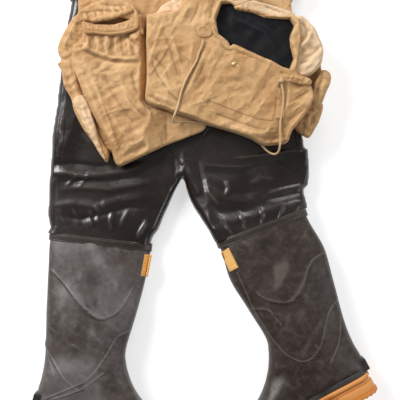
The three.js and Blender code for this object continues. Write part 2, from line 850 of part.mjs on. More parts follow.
function addChest(group) {
  const back = softOutline(
    [
      [-72, 328],
      [90, 350],
      [236, 344],
      [240, 150],
      [150, 142],
      [40, 172],
      [-70, 196],
    ],
    36,
  );
  group.add(toMesh("back_cloth", layer(back, BACK_LEVEL, BACK_LEVEL + BACK_DEPTH, 1), colours.canvas));
  const outline = softOutline(
    [
      [-79, 352],
      [-20, 358],
      [74, 362],
      [92, 387],
      [124, 386],
      [180, 392],
      [240, 372],
      [250, 320],
      [262, 262],
      [266, 200],
      [252, 140],
      [229, 84],
      [180, 80],
      [130, 98],
      [40, 129],
      [-9, 146],
      [-72, 166],
      [-82, 214],
      [-80, 280],
    ],
    57,
  );
  const cavity = polygon([
    [-60, 330],
    [70, 335],
    [88, 330],
    [240, 330],
    [246, 150],
    [120, 140],
    [-50, 190],
  ]);
  const hole = round(SNAP_PLACE, SNAP_POST / 2 + CLEARANCE, CHEST_FLOOR + 4, POCKET_LEVEL + 20);
  const seat = round(
    SNAP_PLACE,
    SNAP_DIAMETER * 0.4 + CLEARANCE,
    CHEST_FLOOR + 4,
    CHEST_TOP - CHEST_WALL + SNAP_SOCKET_HEIGHT + CLEARANCE,
  );
  const shell = layer(outline, CHEST_LEVEL, CHEST_TOP, 6)
    .subtract(layer(polygon(CHEST_MOUTH), CHEST_FLOOR, CHEST_TOP + 20))
    .subtract(layer(cavity, CHEST_FLOOR, CHEST_TOP - CHEST_WALL))
    .subtract(hole)
    .subtract(seat);
  group.add(toMesh("chest_piece", shell, colours.canvas));
  const lining = polygon([
    [92, 358],
    [82, 322],
    [-50, 322],
    [-40, 194],
    [120, 148],
    [236, 158],
    [232, 238],
    [236, 262],
    [232, 320],
    [234, 352],
  ]);
  const liningLevel = CHEST_FLOOR + CLEARANCE;
  group.add(toMesh("chest_lining", layer(lining, liningLevel, liningLevel + 2), colours.lining));
  const hem = polygon([
    [92, 361],
    [122, 384],
    [178, 388],
    [232, 368],
    [233, 355],
  ]);
  group.add(toMesh("back_hem", layer(hem, liningLevel, liningLevel + 6, 1), colours.canvas));
  const puff = softOutline(
    [
      [262, 366],
      [286, 348],
      [305, 320],
      [314, 288],
      [306, 258],
      [292, 240],
      [276, 246],
      [266, 300],
      [258, 330],
    ],
    18,
  );
  group.add(toMesh("shoulder_fold", layer(puff, BACK_LEVEL, CHEST_TOP - 4, 3), colours.canvas));
  const pocket = polygon([
    [116, 288],
    [196, 252],
    [176, 124],
    [61, 171],
  ]);
  const pocketHole = round(SNAP_PLACE, SNAP_POST / 2 + CLEARANCE, POCKET_LEVEL - 5, POCKET_LEVEL + 20);
  group.add(
    toMesh(
      "front_pocket",
      layer(pocket, POCKET_LEVEL, POCKET_LEVEL + POCKET_DEPTH).subtract(pocketHole),
      colours.canvas,
    ),
  );
  const { cap, socket } = snapSolids();
  group.add(toMesh("snap_cap", cap, colours.brass));
  group.add(toMesh("snap_socket", socket, colours.brass));
  const tape = polygon([
    [211, 212],
    [211 - TAPE_WIDTH, 206],
    [196, 122],
    [196 + TAPE_WIDTH, 120],
  ]);
  group.add(toMesh("tie_tape", layer(tape, POCKET_LEVEL, POCKET_LEVEL + 2), colours.canvas));
  const tab = polygon([
    [30, 306 + CLEARANCE],
    [62, 306 + CLEARANCE],
    [66, 322],
    [34, 328],
  ]);
  group.add(toMesh("casing_tab", layer(tab, POCKET_LEVEL, POCKET_LEVEL + CORD_DIAMETER + 1.5, 1), colours.canvas));
  group.add(toMesh("drawcord", cordSolid(), colours.cord));
  const knot = new THREE.SphereGeometry(KNOT_DIAMETER / 2, 12, 8);
  knot.scale(1, 1, 0.6);
  knot.translate(KNOT_PLACE[0] + 2, KNOT_PLACE[1] - CLEARANCE, POCKET_LEVEL + KNOT_DIAMETER * 0.3);
  group.add(toMesh("cord_knot", toSolid(knot).subtract(roundCord()), colours.cord));
}

// The end of the cord with its clearance, cut out of the knot.
function roundCord() {
  const end = cordPoints().at(-1);
  const geometry = new THREE.SphereGeometry(CORD_DIAMETER / 2 + 1, 10, 8);
  geometry.translate(end.x, end.y - 1.5, end.z);
  return toSolid(geometry);
}

const waders = new THREE.Group();
addTrousers(waders);
waders.add(buildLeg(LEFT_LEG));
waders.add(buildLeg(RIGHT_LEG));
addUpper(waders);
addChest(waders);

const extent = new THREE.Box3().setFromObject(waders, true);
const middle = extent.getCenter(new THREE.Vector3());
const placed = new THREE.Group();
waders.position.set(-middle.x, -middle.y, -extent.min.z);
placed.add(waders);

export default placed;
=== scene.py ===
"""Looks of a pair of boot-foot chest waders that lie folded on the floor.

Plan sizes are millimetres from the crotch, +Y towards the waist. They become metres in the frame.
"""
import logging
import math
from dataclasses import dataclass
from enum import Enum
from typing import Callable, Optional, Sequence, Union

import bmesh
import bpy
import numpy as np
from mathutils import Matrix, Vector
from mathutils.bvhtree import BVHTree


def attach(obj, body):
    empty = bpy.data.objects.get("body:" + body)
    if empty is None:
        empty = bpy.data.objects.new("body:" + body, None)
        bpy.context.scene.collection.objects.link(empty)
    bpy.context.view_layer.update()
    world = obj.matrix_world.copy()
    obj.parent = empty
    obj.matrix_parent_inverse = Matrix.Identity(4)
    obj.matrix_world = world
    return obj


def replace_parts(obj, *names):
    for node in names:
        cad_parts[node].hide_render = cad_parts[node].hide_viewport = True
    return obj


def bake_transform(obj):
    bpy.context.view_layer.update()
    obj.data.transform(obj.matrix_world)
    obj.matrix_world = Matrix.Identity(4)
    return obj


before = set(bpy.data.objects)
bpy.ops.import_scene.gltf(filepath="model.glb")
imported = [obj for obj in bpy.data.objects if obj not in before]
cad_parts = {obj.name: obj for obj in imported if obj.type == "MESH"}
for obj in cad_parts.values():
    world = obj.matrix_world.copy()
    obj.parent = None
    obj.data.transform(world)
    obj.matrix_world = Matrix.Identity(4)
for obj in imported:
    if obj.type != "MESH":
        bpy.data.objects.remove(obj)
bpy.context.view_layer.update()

MM = 0.001
SHIFT = (-48.046, 69.478)  # the crotch in the frame
LOG = logging.getLogger("waders")

Array = np.ndarray
Piece = bpy.types.Object
Material = bpy.types.Material
Tree = bpy.types.NodeTree
Socket = bpy.types.NodeSocket
Point = tuple[float, float]
Path = Sequence[Point]
Field = Callable[[Array, Array], Array]

WAIST = 461.0
WAIST_CUT = ((0, WAIST - 0.2), (0, 1))  # a hair short of the waist fold
FLOOR_GAP = 0.0003  # metres
WELD = 0.00005  # metres
CUT_TOLERANCE = 1e-7  # metres
SHARP_ANGLE = 1.0  # radians between faces that meet at a rim
FAR = 1e9


class Slot(Enum):
    """The record's material slots."""

    COATED = "coated_cloth"
    BOOT = "boot_rubber"
    BLACK = "black_rubber"
    SOLE = "sole_rubber"
    CANVAS = "canvas"
    LINING = "lining"
    CORD = "cord"
    LABEL = "label"
    FELT = "felt"
    STEEL = "steel"
    BRASS = "brass"


def to_frame(x: float, y: float, z: float) -> Vector:
    """A point of the plan, in the frame's metres."""
    return Vector(((x + SHIFT[0]) * MM, (y + SHIFT[1]) * MM, z * MM))


# Smooth random fields


def hashed(ix: Array, iy: Array, seed: int) -> Array:
    """One steady number from 0 to 1 for each lattice cell.

    Args:
        ix: Column of each cell.
        iy: Row of each cell.
        seed: Picks another set of numbers.

    Returns:
        The numbers.
    """
    h = (ix.astype(np.int64) * 374761393 + iy.astype(np.int64) * 668265263 + seed * 69069) & 0x7FFFFFFF
    h = ((h ^ (h >> 13)) * 1274126177) & 0x7FFFFFFF
    return ((h ^ (h >> 16)) & 0xFFFF) / 65535.0


def soft_noise(x: Array, y: Array, scale: float, seed: int) -> Array:
    """Value noise from -1 to 1 with cells of that size.

    Args:
        x: Plan x of the points.
        y: Plan y of the points.
        scale: Size of a cell.
        seed: Picks another pattern.

    Returns:
        The noise at the points.
    """
    u, v = x / scale, y / scale
    iu, iv = np.floor(u), np.floor(v)
    fu, fv = u - iu, v - iv
    fu, fv = fu * fu * (3 - 2 * fu), fv * fv * (3 - 2 * fv)
    low = hashed(iu, iv, seed) * (1 - fu) + hashed(iu + 1, iv, seed) * fu
    high = hashed(iu, iv + 1, seed) * (1 - fu) + hashed(iu + 1, iv + 1, seed) * fu
    return 2 * (low * (1 - fv) + high * fv) - 1


def path_distance(x: Array, y: Array, path: Path) -> tuple[Array, Array, Array]:
    """How far points lie from a path.

    Args:
        x: Plan x of the points.
        y: Plan y of the points.
        path: The path's points.

    Returns:
        The distance, the side (positive on the left of the path) and the share of the path's length.
    """
    points = np.array(path, float)
    steps = np.hypot(*(points[1:] - points[:-1]).T)
    ends = np.concatenate([[0], np.cumsum(steps)])
    best = np.full(x.shape, FAR)
    side = np.ones(x.shape)
    share = np.zeros(x.shape)
    for i, step in enumerate(steps):
        (ax, ay), (bx, by) = points[i], points[i + 1]
        dx, dy = (bx - ax) / step, (by - ay) / step
        along = np.clip((x - ax) * dx + (y - ay) * dy, 0, step)
        ox, oy = x - ax - along * dx, y - ay - along * dy
        distance = np.hypot(ox, oy)
        nearer = distance < best
        best = np.where(nearer, distance, best)
        side = np.where(nearer, np.sign(dx * oy - dy * ox), side)
        share = np.where(nearer, (ends[i] + along) / ends[-1], share)
    return best, side, share


class Relief:
    """A height over the plan, in millimetres."""

    def __call__(self, x: Array, y: Array) -> Array:
        """Works the height out.

        Args:
            x: Plan x of the points.
            y: Plan y of the points.

        Returns:
            The heights.
        """
        return self.heights(x, y)


@dataclass(frozen=True)
class Crumple(Relief):
    """Flat facets with sharp creases between them, as in cloth that was folded small and shaken out."""

    scale: float
    height: float
    seed: int
    ways: int = 5
    angle: float = 0.0
    stretch: float = 1.0

    def heights(self, x: Array, y: Array) -> Array:
        """The field's height at the points."""
        turn = math.radians(self.angle)
        c, s = math.cos(turn), math.sin(turn)
        u, v = (x * c + y * s) / self.stretch, y * c - x * s
        total = np.zeros(x.shape)
        for k in range(self.ways):
            way = math.pi * (k + 0.45 * math.sin(7.3 * k + self.seed)) / self.ways
            size = self.scale * (1 + 0.35 * math.sin(3.7 * k + 1.3 * self.seed))
            across = (u * math.cos(way) + v * math.sin(way)) / size + 0.42 * soft_noise(u, v, 1.7 * size,
                self.seed + k)
            fold = 2 * np.sqrt((across - np.floor(across) - 0.5) ** 2 + 0.0012)
            there = np.clip(1.15 * soft_noise(u, v, 1.25 * size, self.seed + k + 40) + 0.45, 0, 1)
            total += (fold - 0.5) * there
        return self.height * total / math.sqrt(self.ways)


@dataclass(frozen=True)
class Waves(Relief):
    """Gentle swells of noise, which a stretch turns into long folds."""

    scale: float
    height: float
    seed: int
    angle: float = 0.0
    stretch: float = 1.0
    ridged: bool = False

    def heights(self, x: Array, y: Array) -> Array:
        """The field's height at the points."""
        c, s = math.cos(math.radians(self.angle)), math.sin(math.radians(self.angle))
        u, v = (x * c + y * s) / self.stretch, y * c - x * s
        value = soft_noise(u, v, self.scale, self.seed) + 0.45 * soft_noise(u, v, self.scale * 0.47, self.seed + 9)
        return self.height * (1 - 2 * np.abs(value) if self.ridged else value)


@dataclass(frozen=True)
class Crease(Relief):
    """A ridge, or a valley if its height is negative, along a path."""

    path: Path
    width: float
    height: float
    taper: bool = True

    def heights(self, x: Array, y: Array) -> Array:
        """The crease's height at the points."""
        distance, _, share = path_distance(x, y, self.path)
        ends = np.clip(4 * np.minimum(share, 1 - share), 0, 1) ** 0.7 if self.taper else 1.0
        return self.height * np.exp(-((distance / self.width) ** 2)) * ends


@dataclass(frozen=True)
class Fold(Crease):
    """A crease with a sharp crest and straight slopes, as in crisp canvas."""

    def heights(self, x: Array, y: Array) -> Array:
        """The fold's height at the points."""
        distance, _, share = path_distance(x, y, self.path)
        ends = np.clip(3 * np.minimum(share, 1 - share), 0, 1) ** 0.7 if self.taper else 1.0
        return self.height * np.exp(-(np.hypot(distance, 0.7) - 0.7) / self.width) * ends


@dataclass(frozen=True)
class Lap(Relief):
    """The edge of a layer that lies on the left of a path: it stands up sharply and sinks back slowly."""

    path: Path
    height: float
    reach: float
    width: float = 1.6

    def heights(self, x: Array, y: Array) -> Array:
        """The lap's height at the points."""
        distance, side, share = path_distance(x, y, self.path)
        ends = np.clip(5 * np.minimum(share, 1 - share), 0, 1) ** 0.6
        signed = distance * side
        rise = 1 / (1 + np.exp(-np.clip(signed / self.width * 3, -30, 30)))
        return self.height * rise * np.exp(-np.maximum(signed, 0) / self.reach) * ends


@dataclass(frozen=True)
class Mound(Relief):
    """A rounded swelling, or a hollow if its height is negative."""

    centre: Point
    radius: Point
    height: float
    angle: float = 0.0

    def heights(self, x: Array, y: Array) -> Array:
        """The mound's height at the points."""
        c, s = math.cos(math.radians(self.angle)), math.sin(math.radians(self.angle))
        dx, dy = x - self.centre[0], y - self.centre[1]
        u, v = (dx * c + dy * s) / self.radius[0], (dy * c - dx * s) / self.radius[1]
        return self.height * np.exp(-(u * u + v * v))


@dataclass(frozen=True)
class Basin(Relief):
    """A sunk area with soft banks."""

    outline: Path
    depth: float
    bank: float

    def heights(self, x: Array, y: Array) -> Array:
        """The basin's height at the points, which is negative inside it."""
        inside = inner_distance(x, y, self.outline)
        share = np.clip(inside / self.bank + 0.5, 0, 1)
        return -self.depth * share * share * (3 - 2 * share)


@dataclass(frozen=True)
class Surface(Relief):
    """A height over the plan: a level or another surface, with features added."""

    base: Union[float, Field]
    features: tuple = ()

    def heights(self, x: Array, y: Array) -> Array:
        """The surface's height at the points."""
        height = self.base(x, y) if callable(self.base) else np.full(x.shape, float(self.base))
        for feature in self.features:
            height = height + feature(x, y)
        return height


def raised(base: Field, by: float, features: tuple = ()) -> Surface:
    """A surface that lies that far above another, with features added."""
    return Surface(base, (lambda x, y: np.full(x.shape, by), *features))


@dataclass(frozen=True)
class Capped(Relief):
    """A surface that never stands higher than another."""

    base: Field
    cap: Field

    def heights(self, x: Array, y: Array) -> Array:
        """The lower of the two at the points."""
        return np.minimum(self.base(x, y), self.cap(x, y))


@dataclass(frozen=True)
class Pressed(Relief):
    """A surface held down to a level along a path, as under a cord."""

    base: Field
    path: Path
    level: float
    width: float = 3.0

    def heights(self, x: Array, y: Array) -> Array:
        """The pressed surface's height at the points."""
        distance, _, _ = path_distance(x, y, self.path)
        return np.minimum(self.base(x, y), self.level + 0.45 * np.maximum(distance - self.width, 0))


def inner_distance(x: Array, y: Array, outline: Path) -> Array:
    """Distance to a closed outline, positive inside it.

    Args:
        x: Plan x of the points.
        y: Plan y of the points.
        outline: The outline's points.

    Returns:
        The distances.
    """
    ring = list(outline) + [outline[0]]
    distance, _, _ = path_distance(x, y, ring)
    inside = np.zeros(x.shape, bool)
    for (ax, ay), (bx, by) in zip(ring[:-1], ring[1:]):
        if ay != by:
            inside ^= ((ay > y) != (by > y)) & (x < (bx - ax) * (y - ay) / (by - ay) + ax)
    return np.where(inside, distance, -distance)


def scaled(outline: Path, share: float) -> list[Point]:
    """An outline grown or shrunk about the mean of its points.

    Args:
        outline: The outline's points.
        share: The new size as a share of the old.

    Returns:
        The new points.
    """
    middle = np.mean(np.array(outline), axis=0)
    return [tuple(middle + (np.array(p) - middle) * share) for p in outline]


def spline(a: Array, b: Array, c: Array, d: Array, t: float) -> Array:
    """A smooth curve through four rows of values.

    Args:
        a: The row before the piece of curve.
        b: The row where it starts.
        c: The row where it ends.
        d: The row after it.
        t: The share of the way from b to c.

    Returns:
        The values there.
    """
    return 0.5 * (2 * b + (c - a) * t + (2 * a - 5 * b + 4 * c - d) * t * t + (3 * b - a - 3 * c + d) * t**3)


def rounded(points: Path, steps: int, closed: bool = True) -> list[Point]:
    """A smooth line through points.

    Args:
        points: The points that it passes through.
        steps: Pieces between two points; one keeps the straight line.
        closed: Whether it runs back to its start.

    Returns:
        The points of the smooth line.
    """
    if steps < 2:
        return list(points)
    p = np.array(points, float)
    count = len(p)
    index = (lambda i: i % count) if closed else (lambda i: min(max(i, 0), count - 1))
    line = []
    for i in range(count if closed else count - 1):
        a, b, c, d = (p[index(i + k)] for k in (-1, 0, 1, 2))
        for k in range(steps):
            q = spline(a, b, c, d, k / steps)
            line.append((float(q[0]), float(q[1])))
    if not closed:
        line.append((float(p[-1][0]), float(p[-1][1])))
    return line


# Finishes


class Wires:
    """A node tree with short ways to add and join nodes."""

    def __init__(self, tree: Tree) -> None:
        """Keeps the tree."""
        self.tree = tree

    def add(self, kind: str, inputs: Optional[dict] = None, **settings: object) -> bpy.types.Node:
        """Adds a node.

        Args:
            kind: The node's type.
            inputs: A value or an output for each named or numbered input.
            settings: Values of the node's own properties.

        Returns:
            The node.
        """
        node = self.tree.nodes.new(kind)
        for name, value in settings.items():
            setattr(node, name, value)
        for name, value in (inputs or {}).items():
            self.feed(node.inputs[name], value)
        return node

    def feed(self, socket: Socket, value: object) -> None:
        """Joins an output to a socket, or sets the socket's own value.

        Args:
            socket: The input.
            value: An output, or a plain value.
        """
        if isinstance(value, Socket):
            self.tree.links.new(value, socket)
        else:
            socket.default_value = value

    def math(self, operation: str, a: object, b: object = 0.0, clamp: bool = False) -> Socket:
        """The result of a math node."""
        return self.add("ShaderNodeMath", {0: a, 1: b}, operation=operation, use_clamp=clamp).outputs[0]

    def ramp(self, value: object, low: float, high: float) -> Socket:
        """The value spread from low and high to 0 and 1.

        Args:
            value: An output or a number.
            low: What becomes 0.
            high: What becomes 1.

        Returns:
            The spread value.
        """
        node = self.add("ShaderNodeMapRange", {"Value": value, "From Min": low, "From Max": high})
        node.interpolation_type = "SMOOTHSTEP"
        return node.outputs[0]

    def mix(self, factor: object, a: object, b: object) -> Socket:
        """Two colours mixed by a factor.

        Args:
            factor: The share of the second.
            a: The first colour.
            b: The second colour.

        Returns:
            The mixed colour.
        """
        node = self.add("ShaderNodeMix", data_type="RGBA")
        self.feed(node.inputs[0], factor)
        self.feed(node.inputs[6], a)
        self.feed(node.inputs[7], b)
        return node.outputs[2]


def new_group(name: str, inputs: dict, outputs: Sequence[str]) -> tuple[Tree, Wires, dict, bpy.types.Node]:
    """Starts a shader node group.

    Args:
        name: Its name.
        inputs: Socket names with their default number, or None for a vector.
        outputs: Names of the values that it puts out.

    Returns:
        The group, its wires, its input sockets by name and its output node.
    """
    tree = bpy.data.node_groups.new(name, "ShaderNodeTree")
    for label, default in inputs.items():
        kind = "NodeSocketVector" if default is None else "NodeSocketFloat"
        socket = tree.interface.new_socket(name=label, in_out="INPUT", socket_type=kind)
        if default is not None:
            socket.default_value = default
    for label in outputs:
        tree.interface.new_socket(name=label, in_out="OUTPUT", socket_type="NodeSocketFloat")
    wires = Wires(tree)
    source = wires.add("NodeGroupInput")
    sink = wires.add("NodeGroupOutput")
    return tree, wires, {s.name: s for s in source.outputs if s.name}, sink


def new_material(name: str) -> tuple[Material, Wires, bpy.types.Node, Socket]:
    """Starts a material.

    Args:
        name: Its name.

    Returns:
        The material, its wires, its shader and the Object coordinates.
    """
    material = bpy.data.materials.new(name)
    material.use_nodes = True
    wires = Wires(material.node_tree)
    shader = material.node_tree.nodes["Principled BSDF"]
    return material, wires, shader, wires.add("ShaderNodeTexCoord").outputs["Object"]


def weave_group() -> Tree:
    """A plain weave of threads: its height.

    Returns:
        The group.
    """
    tree, w, given, sink = new_group("plain_weave", {"Vector": None, "Threads": 900.0}, ("Height",))
    parts = w.add("ShaderNodeSeparateXYZ", {0: given["Vector"]})
    waves = []
    for axis, other in ((0, 1), (1, 0)):
        across = w.math("SINE", w.math("MULTIPLY", parts.outputs[axis], given["Threads"]))
        over = w.math("SINE", w.math("MULTIPLY", parts.outputs[other], w.math("MULTIPLY", given["Threads"], 0.5)))
        waves.append(w.math("MULTIPLY", w.math("ABSOLUTE", across),
            w.math("ADD", 0.6, w.math("MULTIPLY", over, 0.4))))
    w.feed(sink.inputs["Height"], w.math("MAXIMUM", waves[0], waves[1]))
    return tree


def wrinkle_group() -> Tree:
    """Small creases in two sizes: their height.

    Returns:
        The group.
    """
    tree, w, given, sink = new_group("fine_wrinkles", {"Vector": None, "Scale": 60.0, "Sharpness": 0.5}, ("Height",))
    bend = w.add("ShaderNodeTexNoise", {"Vector": given["Vector"], "Scale": 14.0, "Detail": 2.0})
    moved = w.add("ShaderNodeVectorMath", {0: given["Vector"]}, operation="ADD")
    small = w.add("ShaderNodeVectorMath", {0: bend.outputs["Color"]}, operation="SCALE")
    small.inputs["Scale"].default_value = 0.03
    w.feed(moved.inputs[1], small.outputs[0])
    folds = w.add("ShaderNodeTexNoise", {"Vector": moved.outputs[0], "Scale": given["Scale"], "Detail": 1.5})
    ridge = w.math("ABSOLUTE", w.math("SUBTRACT", folds.outputs[0], 0.5))
    soft = w.math("MULTIPLY", folds.outputs[0], w.math("SUBTRACT", 1.0, given["Sharpness"]))
    sharp = w.math("MULTIPLY", w.math("SUBTRACT", 1.0, w.math("MULTIPLY", ridge, 5.0), True), given["Sharpness"])
    w.feed(sink.inputs["Height"], w.math("ADD", soft, sharp))
    return tree


def patina_and_shade_group() -> Tree:
    """Wear and painted light: ridges lighter (painted highlight on cloth, rubbed wear on rubber), valleys darker
    (painted shade), and the tone drifts.

    Returns:
        The group.
    """
    tree, w, given, sink = new_group(
        "patina_and_shade", {"Vector": None, "Relief": 0.0, "Scale": 7.0}, ("Ridge", "Valley", "Drift", "Mottle")
    )
    patches = w.add("ShaderNodeTexNoise", {"Vector": given["Vector"], "Scale": given["Scale"], "Detail": 6.0})
    speck = w.add("ShaderNodeTexNoise", {"Vector": given["Vector"], "Scale": 160.0, "Detail": 3.0})
    grain = w.math("MULTIPLY", w.math("SUBTRACT", speck.outputs[0], 0.5), 0.35)
    lifted = w.math("ADD", given["Relief"], grain)
    # Ridge: painted highlight on cloth, rubbed wear on rubber. Valley: painted shade in hollows.
    w.feed(sink.inputs["Ridge"], w.ramp(lifted, 0.08, 0.75))
    w.feed(sink.inputs["Valley"], w.ramp(w.math("MULTIPLY", lifted, -1.0), 0.05, 0.7))
    w.feed(sink.inputs["Drift"], w.ramp(patches.outputs[0], 0.32, 0.68))
    blots = w.add("ShaderNodeTexNoise", {"Vector": given["Vector"], "Scale": 75.0, "Detail": 5.0, "Roughness": 0.65})
    w.feed(sink.inputs["Mottle"], w.ramp(blots.outputs[0], 0.42, 0.7))
    return tree


def scuff_group() -> Tree:
    """Rubbed streaks and specks, from none to one.

    Returns:
        The group.
    """
    tree, w, given, sink = new_group("scuffs", {"Vector": None, "Scale": 22.0, "Length": 4.0}, ("Mask",))
    turned = w.add("ShaderNodeMapping", {"Vector": given["Vector"], "Rotation": (0.0, 0.0, 0.5)})
    parts = w.add("ShaderNodeSeparateXYZ", {0: turned.outputs[0]})
    short = w.add("ShaderNodeCombineXYZ", {0: w.math("DIVIDE", parts.outputs[0], given["Length"]),
        1: parts.outputs[1], 2: parts.outputs[2]})
    streak = w.add("ShaderNodeTexNoise", {"Vector": short.outputs[0],
        "Scale": w.math("MULTIPLY", given["Scale"], 4.0), "Detail": 7.0, "Roughness": 0.7})
    where = w.add("ShaderNodeTexNoise", {"Vector": given["Vector"], "Scale": given["Scale"], "Detail": 3.0})
    w.feed(sink.inputs["Mask"], w.math("MULTIPLY", w.ramp(streak.outputs[0], 0.5, 0.72),
        w.ramp(where.outputs[0], 0.42, 0.66)))
    return tree


@dataclass(frozen=True)
class Groups:
    """The shared node groups, built once."""

    weave: Tree
    wrinkle: Tree
    patina_and_shade: Tree
    scuff: Tree

    def use(self, wires: Wires, tree: Tree, vector: object, **values: object) -> bpy.types.Node:
        """Places a group in a material with its own values.

        Args:
            wires: The material's wires.
            tree: The group.
            vector: The coordinates it works on.
            values: Its other inputs by name.

        Returns:
            The group node.
        """
        node = wires.add("ShaderNodeGroup", node_tree=tree)
        wires.feed(node.inputs["Vector"], vector)
        for name, value in values.items():
            wires.feed(node.inputs[name], value)
        return node


Colour = tuple[float, float, float]


@dataclass(frozen=True)
class Cloth:
    """Woven cotton: a canvas or a cord's braid, with painted shade in its creases and painted highlight on its ridges
    and thread crowns.
    """

    name: str
    colour: Colour
    # The paler tone of the drift, also the painted highlight on ridges and thread crowns.
    light: Colour
    # The painted shade in creases.
    crease_shade: Colour
    threads: float = 2600.0
    roughness: float = 0.62
    wrinkle: float = 0.95
    crease_scale: float = 34.0

    def make(self, groups: Groups) -> Material:
        """Builds the material.

        Args:
            groups: The shared node groups.

        Returns:
            The material.
        """
        material, w, shader, place = new_material(self.name)
        relief = w.add("ShaderNodeAttribute", attribute_name="relief").outputs["Fac"]
        wear_and_shading = groups.use(w, groups.patina_and_shade, place, Relief=relief, Scale=9.0)
        tone = w.mix(w.math("MULTIPLY", wear_and_shading.outputs["Drift"], 0.45), (*self.colour, 1), (*self.light, 1))
        # Painted shade: creases darken towards the shade colour.
        tone = w.mix(w.math("MULTIPLY", wear_and_shading.outputs["Valley"], 0.5), tone, (*self.crease_shade, 1))
        # Painted highlight: ridges lighten towards the light colour.
        tone = w.mix(w.math("MULTIPLY", wear_and_shading.outputs["Ridge"], 0.4), tone, (*self.light, 1))
        weave = groups.use(w, groups.weave, place, Threads=self.threads)
        wrinkle = groups.use(w, groups.wrinkle, place, Scale=self.crease_scale, Sharpness=0.75)
        # Painted highlight on the thread crowns of the weave.
        tone = w.mix(w.math("MULTIPLY", weave.outputs["Height"], 0.12), tone, (*self.light, 1))
        w.feed(shader.inputs["Base Color"], tone)
        shader.inputs["Roughness"].default_value = self.roughness
        shader.inputs["Sheen Weight"].default_value = 0.12
        shader.inputs["Specular IOR Level"].default_value = 0.4
        height = w.math("ADD", w.math("MULTIPLY", wrinkle.outputs["Height"], self.wrinkle),
            w.math("MULTIPLY", weave.outputs["Height"], 0.1))
        bump = w.add("ShaderNodeBump", {"Strength": 0.7, "Distance": 0.004, "Height": height})
        w.feed(shader.inputs["Normal"], bump.outputs[0])
        return material


@dataclass(frozen=True)
class Rubber:
    """Rubber, coated or moulded: glossy to chalky, with bloom, scuffs, rubbed ridges and painted shade in its
    hollows.
    """

    name: str
    colour: Colour
    bloom: Colour
    wear_and_shading: Colour
    roughness: float
    scuffs: float
    wrinkle: float
    bloom_share: float = 0.5
    grain: float = 0.15
    shine: float = 0.5
    mottle: float = 0.22

    def make(self, groups: Groups) -> Material:
        """Builds the material.

        Args:
            groups: The shared node groups.

        Returns:
            The material.
        """
        material, w, shader, place = new_material(self.name)
        relief = w.add("ShaderNodeAttribute", attribute_name="relief").outputs["Fac"]
        wear_and_shading = groups.use(w, groups.patina_and_shade, place, Relief=relief, Scale=8.0)
        scuff = groups.use(w, groups.scuff, place, Scale=20.0, Length=5.0)
        tone = w.mix(w.math("MULTIPLY", wear_and_shading.outputs["Drift"], self.bloom_share), (*self.colour, 1), (*self.bloom, 1))
        # Ridges rubbed towards the wear colour; on the lining this colour is a painted sheen.
        tone = w.mix(w.math("MULTIPLY", wear_and_shading.outputs["Ridge"], 0.55), tone, (*self.wear_and_shading, 1))
        tone = w.mix(w.math("MULTIPLY", scuff.outputs["Mask"], self.scuffs), tone, (*self.wear_and_shading, 1))
        tone = w.mix(w.math("MULTIPLY", wear_and_shading.outputs["Mottle"], self.mottle), tone, (*self.wear_and_shading, 1))
        # Painted shade: hollows darken to a darker copy of the rubber's own colour.
        hollow_shade = tuple(0.35 * c for c in self.colour)
        tone = w.mix(w.math("MULTIPLY", wear_and_shading.outputs["Valley"], 0.6), tone, (*hollow_shade, 1))
        w.feed(shader.inputs["Base Color"], tone)
        rough = w.math("ADD", self.roughness, w.math("MULTIPLY", wear_and_shading.outputs["Drift"], 0.12))
        rough = w.math("ADD", rough, w.math("MULTIPLY", scuff.outputs["Mask"], 0.2), True)
        w.feed(shader.inputs["Roughness"], rough)
        shader.inputs["Specular IOR Level"].default_value = self.shine
        wrinkle = groups.use(w, groups.wrinkle, place, Scale=48.0, Sharpness=0.3)
        pores = w.add("ShaderNodeTexNoise", {"Vector": place, "Scale": 900.0, "Detail": 2.0})
        height = w.math("ADD", w.math("MULTIPLY", wrinkle.outputs["Height"], self.wrinkle),
            w.math("MULTIPLY", pores.outputs[0], self.grain * 0.2))
        bump = w.add("ShaderNodeBump", {"Strength": 0.6, "Distance": 0.004, "Height": height})
        w.feed(shader.inputs["Normal"], bump.outputs[0])
        return material


@dataclass(frozen=True)
class Metal:
    """Plain metal with fine brushing."""

    name: str
    colour: Colour
    roughness: float

    def make(self, groups: Groups) -> Material:
        """Builds the material.

        Args:
            groups: The shared node groups.

        Returns:
            The material.
        """
        material, w, shader, place = new_material(self.name)
        scuff = groups.use(w, groups.scuff, place, Scale=120.0, Length=8.0)
        dull = tuple(0.55 * c for c in self.colour)
        w.feed(shader.inputs["Base Color"], w.mix(scuff.outputs["Mask"], (*self.colour, 1), (*dull, 1)))
        w.feed(shader.inputs["Roughness"], w.math("ADD", self.roughness,
            w.math("MULTIPLY", scuff.outputs["Mask"], 0.3)))
        shader.inputs["Metallic"].default_value = 0.9
        return material


